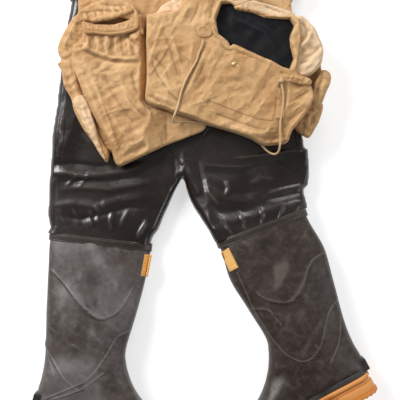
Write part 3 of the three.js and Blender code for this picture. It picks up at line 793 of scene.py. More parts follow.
class Wardrobe:
    """Every finish of the waders, made once."""

    def __init__(self) -> None:
        """Builds the node groups and the materials."""
        groups = Groups(weave_group(), wrinkle_group(), patina_and_shade_group(), scuff_group())
        # Canvas tone, its paler tone that is also its painted highlight, and its painted shade in creases.
        tan, pale, canvas_crease_shade = (0.43, 0.222, 0.080), (0.71, 0.47, 0.235), (0.17, 0.076, 0.022)
        finishes = {
            Slot.CANVAS: Cloth("tan_canvas", tan, pale, canvas_crease_shade),
            Slot.CORD: Cloth("braided_cord", (0.52, 0.34, 0.175), (0.72, 0.53, 0.32), (0.22, 0.12, 0.045), 1800.0,
                0.9, 0.08),
            Slot.FELT: Cloth("grey_felt", (0.15, 0.13, 0.1), (0.24, 0.21, 0.17), (0.06, 0.05, 0.04), 1500.0, 0.95,
                0.2),
            Slot.LABEL: Cloth("woven_patch", (0.83, 0.42, 0.09), (0.95, 0.6, 0.22), (0.5, 0.2, 0.04), 3200.0, 0.7,
                0.05),
            Slot.COATED: Rubber("coated_cloth", (0.0075, 0.0035, 0.0016), (0.019, 0.0115, 0.0075),
                (0.06, 0.045, 0.037), 0.24, 0.2, 0.14, shine=0.65, mottle=0.05),
            Slot.BOOT: Rubber("boot_rubber", (0.017, 0.0085, 0.0052), (0.042, 0.027, 0.0195), (0.14, 0.112, 0.095),
                0.38, 0.45, 0.08),
            Slot.BLACK: Rubber("black_rubber", (0.011, 0.009, 0.008), (0.025, 0.021, 0.019), (0.055, 0.05, 0.048),
                0.42, 0.3, 0.15),
            Slot.SOLE: Rubber("sole_rubber", (0.60, 0.185, 0.022), (0.68, 0.245, 0.042), (0.76, 0.36, 0.11), 0.5,
                0.25, 0.06, 0.4),
            # The lining's bluish third colour is a painted sheen on its wrinkle ridges, and its scuff colour.
            Slot.LINING: Rubber("black_lining", (0.002, 0.002, 0.003), (0.005, 0.005, 0.007), (0.012, 0.012, 0.017),
                0.48, 0.1, 0.12, shine=0.22),
            Slot.STEEL: Metal("plain_steel", (0.5, 0.5, 0.5), 0.35),
            Slot.BRASS: Metal("dull_brass", (0.62, 0.43, 0.2), 0.38),
        }
        self.materials = {slot: finish.make(groups) for slot, finish in finishes.items()}
        # A lighter copy of the boot rubber for the left boot: real bloom, and a painted sheen where light falls on
        # it.
        self.bloomed_and_sheen = Rubber("bloomed_and_sheen_boot_rubber", (0.040, 0.027, 0.0215), (0.125, 0.108, 0.103),
            (0.2, 0.185, 0.18), 0.42, 0.5, 0.08, 0.75).make(groups)
        # A paler copy of the canvas: its paler inner side, and painted highlight on the facets, flaps and hems that
        # take it.
        self.pale = Cloth("pale_canvas", (0.60, 0.385, 0.20), (0.84, 0.65, 0.44), (0.27, 0.14, 0.055)).make(groups)
        self.band = Rubber("joining_band_rubber", (0.015, 0.008, 0.005), (0.03, 0.020, 0.015), (0.08, 0.062, 0.052),
            0.36, 0.3, 0.08).make(groups)

    def dress(self, obj: Piece, slot: Slot, finish: Optional[Material] = None) -> Piece:
        """Gives a piece its only material, the slot's own unless another is given, and logs the piece's name.

        Args:
            obj: The piece.
            slot: The record's slot.
            finish: A material in place of the slot's own.

        Returns:
            The piece.
        """
        obj.data.materials.clear()
        obj.data.materials.append(finish or self.materials[slot])
        LOG.info("%s", obj.name)
        return obj


# Forms


def link(name: str, bm: bmesh.types.BMesh, smooth: bool = True) -> Piece:
    """Puts a finished bmesh into the scene as a named piece.

    Args:
        name: The piece's name.
        bm: The mesh, which is freed.
        smooth: Whether its faces are shaded smooth.

    Returns:
        The piece.
    """
    mesh = bpy.data.meshes.new(name)
    bm.to_mesh(mesh)
    bm.free()
    obj = bpy.data.objects.new(name, mesh)
    bpy.context.scene.collection.objects.link(obj)
    if smooth:
        smoothed(mesh)
    return obj


def settle(obj: Piece) -> Piece:
    """Applies a piece's modifiers to its mesh.

    Args:
        obj: The piece.

    Returns:
        The piece.
    """
    graph = bpy.context.evaluated_depsgraph_get()
    done = bpy.data.meshes.new_from_object(obj.evaluated_get(graph))
    old, obj.data = obj.data, done
    obj.modifiers.clear()
    name = old.name
    bpy.data.meshes.remove(old)
    done.name = name
    smoothed(done)
    return obj


def vertices(obj: Piece) -> Array:
    """A piece's vertices as rows of x, y and z.

    Args:
        obj: The piece.

    Returns:
        The rows.
    """
    co = np.empty(len(obj.data.vertices) * 3)
    obj.data.vertices.foreach_get("co", co)
    return co.reshape(-1, 3)


def vertex_normals(obj: Piece) -> Array:
    """A piece's vertex normals as rows of x, y and z.

    Args:
        obj: The piece.

    Returns:
        The rows.
    """
    normals = np.empty(len(obj.data.vertices) * 3)
    obj.data.vertices.foreach_get("normal", normals)
    return normals.reshape(-1, 3)


def smoothed(mesh: bpy.types.Mesh) -> None:
    """Shades every face of a mesh smooth."""
    mesh.polygons.foreach_set("use_smooth", [True] * len(mesh.polygons))


def close_ends(bm: bmesh.types.BMesh) -> list[bmesh.types.BMFace]:
    """Fills the open ends of a mesh.

    Args:
        bm: The mesh.

    Returns:
        The faces that close it.
    """
    return bmesh.ops.holes_fill(bm, edges=[e for e in bm.edges if e.is_boundary], sides=0)["faces"]


def write_relief(obj: Piece, reach: int, gain: float, share: Union[float, Array] = 1.0) -> None:
    """Stores how far each point stands out of its surroundings, for painted highlight and wear on ridges and painted
    shade in hollows.

    Args:
        obj: The piece.
        reach: Rounds of averaging that find the surroundings.
        gain: Relief for each millimetre.
        share: How much of it to keep, for the whole piece or for each point.
    """
    co = vertices(obj)
    edges = np.empty(len(obj.data.edges) * 2, np.int64)
    obj.data.edges.foreach_get("vertices", edges)
    a, b = edges[::2], edges[1::2]
    count = np.bincount(edges, minlength=len(co)).astype(float)[:, None] + 1
    smooth = co.copy()
    for _ in range(reach):
        total = smooth.copy()
        for k in range(3):
            total[:, k] += np.bincount(a, smooth[b, k], len(co)) + np.bincount(b, smooth[a, k], len(co))
        smooth = total / count
    relief = np.sum((co - smooth) * vertex_normals(obj), axis=1) / MM * gain * share
    attribute = obj.data.attributes.new("relief", "FLOAT", "POINT")
    attribute.data.foreach_set("value", np.clip(relief, -1, 1).astype(np.float32))


@dataclass
class SoftForm:
    """A soft flat piece: an outline in plan between a lower and an upper surface, with rounded rims."""

    name: str
    outline: Path
    bottom: Field
    top: Field
    rim: float = 10.0
    drop: float = 6.0
    lift: float = 1.5
    voxel: float = 3.0
    smooth: int = 4
    ragged: float = 0.8
    seed: int = 1
    relief: tuple[int, float] = (6, 1.2)

    def build(self) -> Piece:
        """Makes the piece in the frame.

        Returns:
            The piece, with its relief stored.
        """
        ring = np.array(rounded(self.outline, self.smooth))
        ring = ring + self.ragged * np.stack(
            [soft_noise(ring[:, 0], ring[:, 1], 22, self.seed),
                soft_noise(ring[:, 1], ring[:, 0], 22, self.seed + 1)], 1
        )
        bm = bmesh.new()
        face = bm.faces.new([bm.verts.new((x * MM, y * MM, 0)) for x, y in ring])
        thick = 3 * self.voxel * MM
        grown = bmesh.ops.extrude_face_region(bm, geom=[face])
        bmesh.ops.translate(bm, verts=[g for g in grown["geom"] if isinstance(g, bmesh.types.BMVert)],
            vec=(0, 0, thick))
        bmesh.ops.recalc_face_normals(bm, faces=bm.faces)
        obj = link(self.name, bm)
        remesh = obj.modifiers.new("Even", "REMESH")
        remesh.mode = "VOXEL"
        remesh.voxel_size = self.voxel * MM
        settle(obj)
        co = vertices(obj)
        x, y, share = co[:, 0] / MM, co[:, 1] / MM, np.clip(co[:, 2] / thick, 0, 1)
        inside = inner_distance(x, y, [tuple(p) for p in ring])
        q = np.clip(inside / self.rim, 0, 1)
        fall = 1 - np.sqrt(1 - (1 - q) ** 2)
        low, high = self.bottom(x, y), self.top(x, y)
        full = np.maximum(high - low, 0.4)
        high = low + full - fall * np.minimum(self.drop, 0.7 * full)
        low = low + fall * np.minimum(self.lift, 0.25 * full)
        z = low + share * (high - low)
        obj.data.vertices.foreach_set("co", np.stack([(x + SHIFT[0]) * MM, (y + SHIFT[1]) * MM, z * MM], 1).ravel())
        obj.data.update()
        write_relief(obj, *self.relief, np.clip((inside - self.rim) / (2.5 * self.voxel), 0, 1))
        return obj


@dataclass
class Section:
    """One cross-section of a boot: its front and back points in plan, half depth, centre level and fullness."""

    front: Point
    back: Point
    half: float
    centre: float
    power: float = 0.8


def lofted(name: str, sections: Sequence[Section], place: Callable, around: int = 72, between: int = 9) -> Piece:
    """A closed smooth body through sections.

    Args:
        name: The piece's name.
        sections: The sections from one end to the other.
        place: Turns a point of the leg's own plan into one of the waders' plan.
        around: Faces round a section.
        between: Rows of faces between two sections.

    Returns:
        The piece.
    """
    rows = [(*s.front, *s.back, s.half, s.centre, s.power) for s in sections]
    padded = np.array([rows[0], *rows, rows[-1]])
    fine = []
    for i in range(1, len(padded) - 2):
        for k in range(between + (1 if i == len(padded) - 3 else 0)):
            fine.append(spline(*padded[i - 1 : i + 3], k / between))
    fine = np.array(fine)
    fine[:, 4] = np.maximum(fine[:, 4], 0.6)
    bm = bmesh.new()
    bmesh.ops.create_grid(bm, x_segments=around, y_segments=len(fine) - 1, size=1.0)
    bm.verts.ensure_lookup_table()
    for vert in bm.verts:
        turn = math.pi * (vert.co.x + 1)
        row = fine[min(len(fine) - 1, int(round((vert.co.y + 1) / 2 * (len(fine) - 1))))]
        c, s = math.cos(turn), math.sin(turn)
        across = math.copysign(abs(c) ** row[6], c)
        up = math.copysign(abs(s) ** row[6], s)
        x = (row[0] + row[2]) / 2 + across * (row[2] - row[0]) / 2
        y = (row[1] + row[3]) / 2 + across * (row[3] - row[1]) / 2
        px, py = place(x, y)
        vert.co = to_frame(px, py, max(row[5] + up * row[4], FLOOR_GAP / MM))
    bmesh.ops.remove_doubles(bm, verts=bm.verts, dist=WELD)
    close_ends(bm)
    bmesh.ops.recalc_face_normals(bm, faces=bm.faces)
    return link(name, bm)


def raise_along(obj: Piece, heights: Field) -> None:
    """Moves each point out along its normal by a height over the plan.

    Args:
        obj: The piece.
        heights: The height over the plan.
    """
    co = vertices(obj)
    normals = vertex_normals(obj)
    lift = heights(co[:, 0] / MM - SHIFT[0], co[:, 1] / MM - SHIFT[1]) * MM
    facing = np.clip(np.abs(normals[:, 2]) * 2.2, 0, 1)
    co += normals * (lift * facing)[:, None]
    co[:, 2] = np.maximum(co[:, 2], FLOOR_GAP)
    obj.data.vertices.foreach_set("co", co.ravel())
    obj.data.update()


def cut_copy(obj: Piece, name: str, cuts: Sequence[tuple[Point, Point]]) -> Piece:
    """A closed copy of the part of a piece that lies before every cut.

    Args:
        obj: The whole piece.
        name: The copy's name.
        cuts: A point and a direction for each cut; what lies beyond it that way goes.

    Returns:
        The copy.
    """
    bm = bmesh.new()
    bm.from_mesh(obj.data)
    for point, way in cuts:
        bmesh.ops.bisect_plane(
            bm,
            geom=bm.verts[:] + bm.edges[:] + bm.faces[:],
            dist=CUT_TOLERANCE,
            plane_co=to_frame(*point, 0),
            plane_no=(*way, 0),
            clear_outer=True,
        )
        for face in close_ends(bm):
            face.smooth = False
            for edge in face.edges:
                edge.smooth = False
    return link(name, bm, smooth=False)


def plate(name: str, outline: Path, low: float, high: float, place: Matrix, edge: float, segments: int = 2) -> Piece:
    """A plate of an outline between two heights, with rounded edges, put in place by a matrix in metres.

    Args:
        name: The piece's name.
        outline: Its outline in millimetres.
        low: Its lower level.
        high: Its upper level.
        place: The matrix.
        edge: Radius of its edges.
        segments: Faces across an edge.

    Returns:
        The piece.
    """
    bm = bmesh.new()
    face = bm.faces.new([bm.verts.new((x * MM, y * MM, low * MM)) for x, y in outline])
    grown = bmesh.ops.extrude_face_region(bm, geom=[face])
    top = [g for g in grown["geom"] if isinstance(g, bmesh.types.BMVert)]
    bmesh.ops.translate(bm, verts=top, vec=(0, 0, (high - low) * MM))
    bmesh.ops.recalc_face_normals(bm, faces=bm.faces)
    rims = [e for e in bm.edges if e.is_manifold and e.calc_face_angle() > SHARP_ANGLE]
    bmesh.ops.bevel(
        bm, geom=rims, offset=edge * MM, affect="EDGES", segments=segments, profile=0.5, material=-1,
        clamp_overlap=True
    )
    bmesh.ops.transform(bm, matrix=place, verts=bm.verts)
    bmesh.ops.recalc_face_normals(bm, faces=bm.faces)
    return link(name, bm, smooth=False)


def draped(obj: Piece) -> Field:
    """The level of a finished piece's upper side over the plan.

    Args:
        obj: The piece.

    Returns:
        The level as a field.
    """
    tree = BVHTree.FromObject(obj, bpy.context.evaluated_depsgraph_get())

    def level(x: Array, y: Array) -> Array:
        """The upper side's level at the points, or the nearest point's beyond its edge.

        Args:
            x: Plan x of the points.
            y: Plan y of the points.

        Returns:
            The levels.
        """
        found = []
        for px, py in zip(x, y):
            spot = to_frame(float(px), float(py), 300)
            hit = tree.ray_cast(spot, Vector((0, 0, -1)))[0]
            found.append((hit or tree.find_nearest(to_frame(float(px), float(py), 60))[0]).z / MM)
        return np.array(found)

    return level


@dataclass
class Stitching:
    """Rows of thread stitches on a surface."""

    name: str
    rows: Sequence[tuple[Path, Field]]
    pitch: float = 5.0
    length: float = 3.4
    width: float = 1.1

    def build(self) -> Piece:
        """Makes one piece of all the stitches.

        Returns:
            The piece.
        """
        bm = bmesh.new()
        for path, surface in self.rows:
            p = np.array(path, float)
            steps = np.hypot(*(p[1:] - p[:-1]).T)
            ends = np.concatenate([[0], np.cumsum(steps)])
            for at in np.arange(self.pitch / 2, ends[-1], self.pitch):
                x, y = np.interp(at, ends, p[:, 0]), np.interp(at, ends, p[:, 1])
                x2, y2 = np.interp(at + 0.5, ends, p[:, 0]), np.interp(at + 0.5, ends, p[:, 1])
                z = float(surface(np.array([x]), np.array([y]))[0])
                turn = Matrix.Rotation(math.atan2(y2 - y, x2 - x), 4, "Z")
                size = Matrix.Diagonal((self.length / 2 * MM, self.width / 2 * MM, self.width / 2.2 * MM, 1))
                bmesh.ops.create_icosphere(bm, subdivisions=1, radius=1.0,
                    matrix=Matrix.Translation(to_frame(x, y, z + 0.25)) @ turn @ size)
        return link(self.name, bm)


# Stage


@dataclass
class Stage:
    """The pale floor, the soft light and the camera above it."""

    centre: Point = (-0.0075, 0.0245)
    height: float = 2.2
    view_width: float = 0.9
    sensor: float = 36.0
    lamps: tuple = (
        ("key", (-1.75, 1.45, 1.75), 1.3, 86.0),
        ("fill", (2.1, -0.4, 1.7), 1.6, 17.0),
        ("strip", (0.5, 2.4, 1.35), 0.8, 20.0),
    )

    def build(self) -> None:
        """Makes the floor, the lights and the camera."""
        bm = bmesh.new()
        bmesh.ops.create_grid(bm, x_segments=2, y_segments=2, size=6.0)
        bmesh.ops.translate(bm, verts=bm.verts, vec=(0, 0, -0.0005))
        floor = link("floor", bm, smooth=False)
        material = bpy.data.materials.new("pale_floor")
        material.use_nodes = True
        shader = material.node_tree.nodes["Principled BSDF"]
        shader.inputs["Base Color"].default_value = (0.72, 0.72, 0.72, 1)
        shader.inputs["Roughness"].default_value = 0.9
        shader.inputs["Specular IOR Level"].default_value = 0.1
        shader.inputs["Emission Color"].default_value = (1, 1, 1, 1)
        shader.inputs["Emission Strength"].default_value = 0.55
        floor.data.materials.append(material)
        world = bpy.data.worlds.new("studio")
        bpy.context.scene.world = world
        world.use_nodes = True
        world.node_tree.nodes["Background"].inputs[0].default_value = (0.97, 0.985, 1.0, 1)
        world.node_tree.nodes["Background"].inputs[1].default_value = 0.24
        for name, place, size, power in self.lamps:
            self.light(name, place, size, power)
        camera = bpy.data.cameras.new("camera")
        camera.sensor_width = self.sensor
        camera.lens = self.sensor * self.height / self.view_width
        camera.clip_end = 50
        eye = bpy.data.objects.new("camera", camera)
        eye.location = (*self.centre, self.height + 0.05)
        bpy.context.scene.collection.objects.link(eye)
        bpy.context.scene.camera = eye
        bpy.context.scene.view_settings.view_transform = "Standard"

    def light(self, name: str, place: tuple[float, float, float], size: float, power: float) -> None:
        """Adds a square light that looks at the waders' middle.

        Args:
            name: Its name.
            place: Where it stands, in metres.
            size: Its width in metres.
            power: Its power in watts.
        """
        data = bpy.data.lights.new(name, "AREA")
        data.size = size
        data.energy = power
        lamp = bpy.data.objects.new(name, data)
        lamp.location = place
        aim = Vector((*self.centre, 0.05)) - Vector(place)
        lamp.rotation_euler = aim.to_track_quat("-Z", "Y").to_euler()
        bpy.context.scene.collection.objects.link(lamp)


# Trousers


@dataclass(frozen=True)
class Leg:
    """How one leg lies: its pivots, angles and the sizes of its boot."""

    name: str
    side: int
    hip: float
    thigh_splay: float
    shin_splay: float
    thigh: float
    knee_to_boot: float
    top_width: float
    top_depth: float
    shin_depth: float
    front_swell: float = 0.0

    def knee_plan(self) -> Point:
        """The knee's pivot in plan."""
        return self.from_shin(0, 0)

    def from_shin(self, x: float, y: float) -> Point:
        """A point of the shin's own plan, heel towards +X, in the waders' plan.

        Args:
            x: Its x.
            y: Its y, from the knee.

        Returns:
            The point.
        """
        bend = self.shin_splay - self.thigh_splay
        x, y = x * math.cos(bend) - y * math.sin(bend), x * math.sin(bend) + y * math.cos(bend)
        y -= self.thigh
        turn = self.thigh_splay
        x, y = x * math.cos(turn) - y * math.sin(turn), x * math.sin(turn) + y * math.cos(turn)
        return self.side * (self.hip + x), 98 + y

    def from_boot(self, x: float, y: float) -> Point:
        """A point of the boot's own plan, heel towards +X, in the waders' plan."""
        return self.from_shin(x, y - self.knee_to_boot)


LEFT = Leg("left", -1, 152, 0.15, 0.119, 149, 91, 229, 46, 76)
RIGHT = Leg("right", 1, 142, 0.115, 0.361, 122, 88, 195, 72, 82, 14)


# Short folds above the boots: path and height
PLEATS = (
    (((-229.5, -103.5), (-240.8, -76.5), (-247.5, -58.5)), 2.6),
    (((-202.5, -108), (-207, -85.5), (-204.8, -63)), 3.2), (((-191.2, -99), (-189, -76.5), (-195.8, -54)), 2.2),
    (((-157.5, -117), (-162, -94.5), (-155.2, -67.5)), 3.0),
    (((-139.5, -108), (-130.5, -85.5), (-119.2, -67.5)), 2.2), (((-265.5, -99), (-274.5, -76.5), (-276.8, -63)), 1.6),
    (((-101.2, -130.5), (-90, -110.2), (-76.5, -94.5)), 1.6),
    (((-175.5, -76.5), (-177.8, -58.5), (-173.2, -45)), 1.4),
)

LEFT_FOLDS = (
    Crease(((-299.2, 15.8), (-261, 16.9), (-220.5, 9), (-175.5, 13.5), (-130.5, 20.2), (-90, 27)), 6, 4.2),
    Crease(((-297, 33.8), (-252, 38.2), (-193.5, 31.5), (-121.5, 40.5), (-72, 49.5)), 7, -3.5),
    Crease(((-279, -22.5), (-225, -15.8), (-162, -20.2), (-99, -9), (-54, 0)), 7, 2.6),
    Crease(((-283.5, -2.2), (-229.5, -2.2), (-162, -2.2), (-94.5, 9)), 6, -2.6),
    Crease(((-261, -13.5), (-243, 4.5), (-229.5, 13.5)), 3.5, 2.2),
    Crease(((-234, -15.8), (-216, 2.2), (-207, 18)), 3, 2.0),
    Crease(((-292.5, -58.5), (-243, -51.8), (-193.5, -60.8), (-139.5, -42.8), (-72, -36)), 8, 2.6),
    Crease(((-283.5, -76.5), (-229.5, -87.8), (-175.5, -76.5), (-121.5, -60.8), (-72, -63)), 7, -2.4),
    Crease(((-236.2, 355.5), (-247.5, 292.5), (-261, 234), (-267.8, 175.5), (-276.8, 117), (-283.5, 47.2),
        (-286.9, -42.8), (-285.8, -103.5)), 1.6, -1.8, False),
    Crease(((0, 67.5), (4.5, 33.8), (-2.2, 0), (-18, -27)), 5, 3.2),
    Crease(((-22.5, 67.5), (-15.8, 22.5), (-27, -22.5)), 6, -2.5),
    Mound((-274.5, 67.5), (22, 60), 3), Mound((-162, 90), (70, 34), 3), Mound((-261, 180), (18, 70), 2.5, 8),
    Crease(((-247.5, 153), (-256.5, 112.5), (-270, 67.5)), 7, 2.4),
    Crease(((-76.5, -85.5), (-94.5, -117), (-103.5, -137.2)), 4, 2.2),
)

RIGHT_FOLDS = (
    Crease(((49.5, 33.8), (90, 31.5), (137.2, 31.5), (180, 40.5)), 2.4, 2.2),
    Crease(((49.5, 20.2), (108, 15.8), (164.2, 22.5)), 9, -2.4),
    Crease(((114.8, 48.4), (180, 56.2), (243, 65.2), (283.5, 69.8)), 3.4, 3.6),
    Crease(((130.5, 31.5), (198, 38.2), (279, 54)), 9, -2.0),
    Crease(((193.5, -29.2), (229.5, -20.2), (265.5, -13.5), (285.8, -7.9)), 3.0, 4.4),
    Crease(((184.5, -45), (229.5, -36), (274.5, -24.8)), 4.5, -3.8),
    Crease(((274.5, 67.5), (283.5, 31.5), (279, -6.8)), 3.4, 3.0),
    Crease(((9, 45), (18, 9), (31.5, -18), (38.2, -36)), 6, 4.0),
    Crease(((31.5, 45), (42.8, 4.5), (56.2, -27)), 6, -3.4), Crease(((49.5, 0), (63, -31.5), (85.5, -58.5)), 5, 3.4),
    Crease(((65.2, -27), (99, -40.5), (139.5, -45), (180, -31.5)), 9, 2.4),
    Crease(((54, -58.5), (94.5, -72), (144, -67.5), (198, -49.5)), 9, -2.0),
    Crease(((67.5, -76.5), (108, -92.2), (157.5, -81), (211.5, -60.8), (261, -45)), 8, 2.0),
    Crease(((99, 0), (105.8, -18), (99, -36)), 5, 2.6),
    Crease(((229.5, -58.5), (256.5, -49.5), (276.8, -51.8)), 3, 3.0),
    Crease(((153, -9), (180, 4.5), (211.5, 4.5)), 7, 2.2),
    Crease(((112.5, -126), (99, -99), (81, -76.5)), 3.2, 2.8),
    Crease(((144, -117), (137.2, -90), (126, -67.5)), 3.2, 3.0),
    Crease(((180, -105.8), (180, -76.5), (175.5, -58.5)), 3.0, 2.6),
    Crease(((216, -94.5), (222.8, -72), (229.5, -54)), 3.0, 2.6),
    Crease(((252, -83.2), (263.2, -65.2), (270, -51.8)), 2.8, 2.2),
)


@dataclass
class Trousers:
    """The flattened coated trousers, cut at the centre seam and across the thighs."""

    wardrobe: Wardrobe
    outline: Path = (
        ((-249.8, 461), (-252, 405), (-261, 348.8), (-276.8, 234), (-283.5, 175.5), (-292.5, 117), (-299.2, 47.2),
            (-303.8, -42.8), (-304.7, -76.5), (-300.2, -108), (-302.4, -148.5), (-87.8, -186.8), (-74.2, -150.8),
            (-65.2, -128.2), (-49.5, -101.2), (-24.8, -42.8), (-9, -11.2), (0, 3.4), (6.8, -6.8), (20.2, -47.2),
            (49.5, -96.8), (79.9, -148.5), (93.4, -180), (303.8, -114.8), (289.4, -81), (283.5, -58.5), (281.2, -45),
            (274.5, -22.5), (285.8, -9), (286.9, 31.5), (285.8, 69.8), (276.8, 81), (270, 157.5), (259.9, 249.8),
            (249.8, 348.8), (245.2, 405), (240.8, 461))
    )

    def top(self) -> Field:
        """The upper side of the cloth, which lies flat under the folded upper."""
        return Capped(self.folds(), lambda x, y: 48.1 + 0.15 * np.maximum(112 - y, 0))

    def folds(self) -> Surface:
        """The upper side of the cloth with its folds.

        Returns:
            The surface.
        """
        pleats = [Crease(path, 4.2, 0.7 * height) for path, height in PLEATS]
        swell = (Waves(110, 2.8, 11), Waves(38, 0.7, 12, 15, 2.6), Crumple(90, 3.2, 13, 4, 10, 1.6))
        return Surface(self.depth, (*pleats, *LEFT_FOLDS, *RIGHT_FOLDS, *swell))

    @staticmethod
    def depth(x: Array, y: Array) -> Array:
        """The cloth's thickness over the plan: it swells at the right boot's top.

        Args:
            x: Plan x of the points.
            y: Plan y of the points.

        Returns:
            The levels.
        """
        near = np.clip((40 - y) / 150, 0, 1) ** 1.6
        return 45 + np.where(x > 0, 26, 3) * near * np.clip(np.abs(x) / 60, 0, 1)

    def build(self) -> None:
        """Makes the cloth, cuts it into pieces, dresses them and hides the frame's parts that they replace."""
        whole = SoftForm("trousers", self.outline, Surface(FLOOR_GAP / MM), self.top(), rim=16, drop=20, lift=5,
            voxel=3.2, smooth=3, ragged=1.5, seed=3, relief=(10, 0.55)).build()
        for leg, groin_end, cut in ((LEFT, (-290, 176), 62), (RIGHT, (273, 158), 50)):
            groin = Vector(groin_end).normalized()
            down = Vector((leg.side * abs(groin.y), -abs(groin.x)))
            split = down * cut
            high = cut_copy(whole, f"{leg.name}_trouser_top",
                [((0, 0), (-leg.side, 0)), (tuple(split), tuple(down)), WAIST_CUT])
            rim = Vector(leg.from_boot(0, 6.5))
            off = (Vector(leg.from_boot(0, -60)) - rim).normalized()
            low = cut_copy(
                whole, f"{leg.name}_trouser_leg",
                [((0, 0), (-leg.side, 0)), (tuple(split), tuple(-down)), (tuple(rim), tuple(off))]
            )
            for piece in (high, low):
                self.wardrobe.dress(piece, Slot.COATED)
            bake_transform(high)
            knee = Vector(leg.knee_plan())
            along = Vector(leg.from_shin(0, -70)) - knee
            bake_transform(low)
            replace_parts(high, f"{leg.name}_thigh", "trunk")
            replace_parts(low, f"{leg.name}_knee_sleeve")
        bpy.data.objects.remove(whole)
        self.tapes()

    def tapes(self) -> None:
        """The crotch patch and the tapes over the seams, which follow the cloth."""
        top = self.top()
        over = raised(top, 0.25)
        flat = raised(top, 1.5)
        patches = (
            ("crotch_reinforcement", ((0, 30), (62, 118), (0, 205), (-62, 118)), "crotch_patch", "root", Slot.COATED),
            ("centre_tape", ((-11, 207), (11, 207), (11, 434), (-11, 434)), "centre_seam_tape", "root", Slot.BLACK),
            ("waist_binding", ((-238, 438), (233, 438), (233, 459), (-238, 459)), "waist_tape", "root", Slot.BLACK),
        )
        for name, outline, node, body, slot in patches:
            piece = SoftForm(name, outline, over, flat, rim=2, drop=1, lift=0, voxel=2.6, smooth=1,
                ragged=0.3).build()
            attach(self.wardrobe.dress(piece, slot), body)
            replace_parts(piece, node)
        for leg, path in ((LEFT, ((-282.4, 139.5), (-285.8, 90), (-290.2, 47.2))),
            (RIGHT, ((267.8, 139.5), (274.5, 103.5), (277.9, 76.5)))):
            line = [(x + leg.side * -6, y) for x, y in path]
            edge = [(x + leg.side * -20, y) for x, y in reversed(path)]
            piece = SoftForm(f"{leg.name}_side_tape", (*line, *edge), over, flat, rim=2, drop=1, lift=0, voxel=2.2,
                smooth=1, ragged=0.3).build()
            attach(self.wardrobe.dress(piece, Slot.COATED), f"{leg.name}_thigh")
            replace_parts(piece, f"{leg.name}_seam_tape")


# Boots

FOOT_LENGTH = 304.0
BALL_WIDTH = 102.0
HEEL_WIDTH = 72.0
FOOT_CENTRE = BALL_WIDTH / 2 + 3
SOLE_TILT = 0.134
SOLE_HEEL = (98.0, -381.0)


def foot_point(share: float, height: float) -> Point:
    """A point of the foot in the boot's plan: a share of its length from the heel, and a height above the sole.

    Args:
        share: The share of the length.
        height: The height.

    Returns:
        The point.
    """
    along = share * FOOT_LENGTH
    c, s = math.cos(SOLE_TILT), math.sin(SOLE_TILT)
    return SOLE_HEEL[0] - along * c - height * s, SOLE_HEEL[1] - along * s + height * c


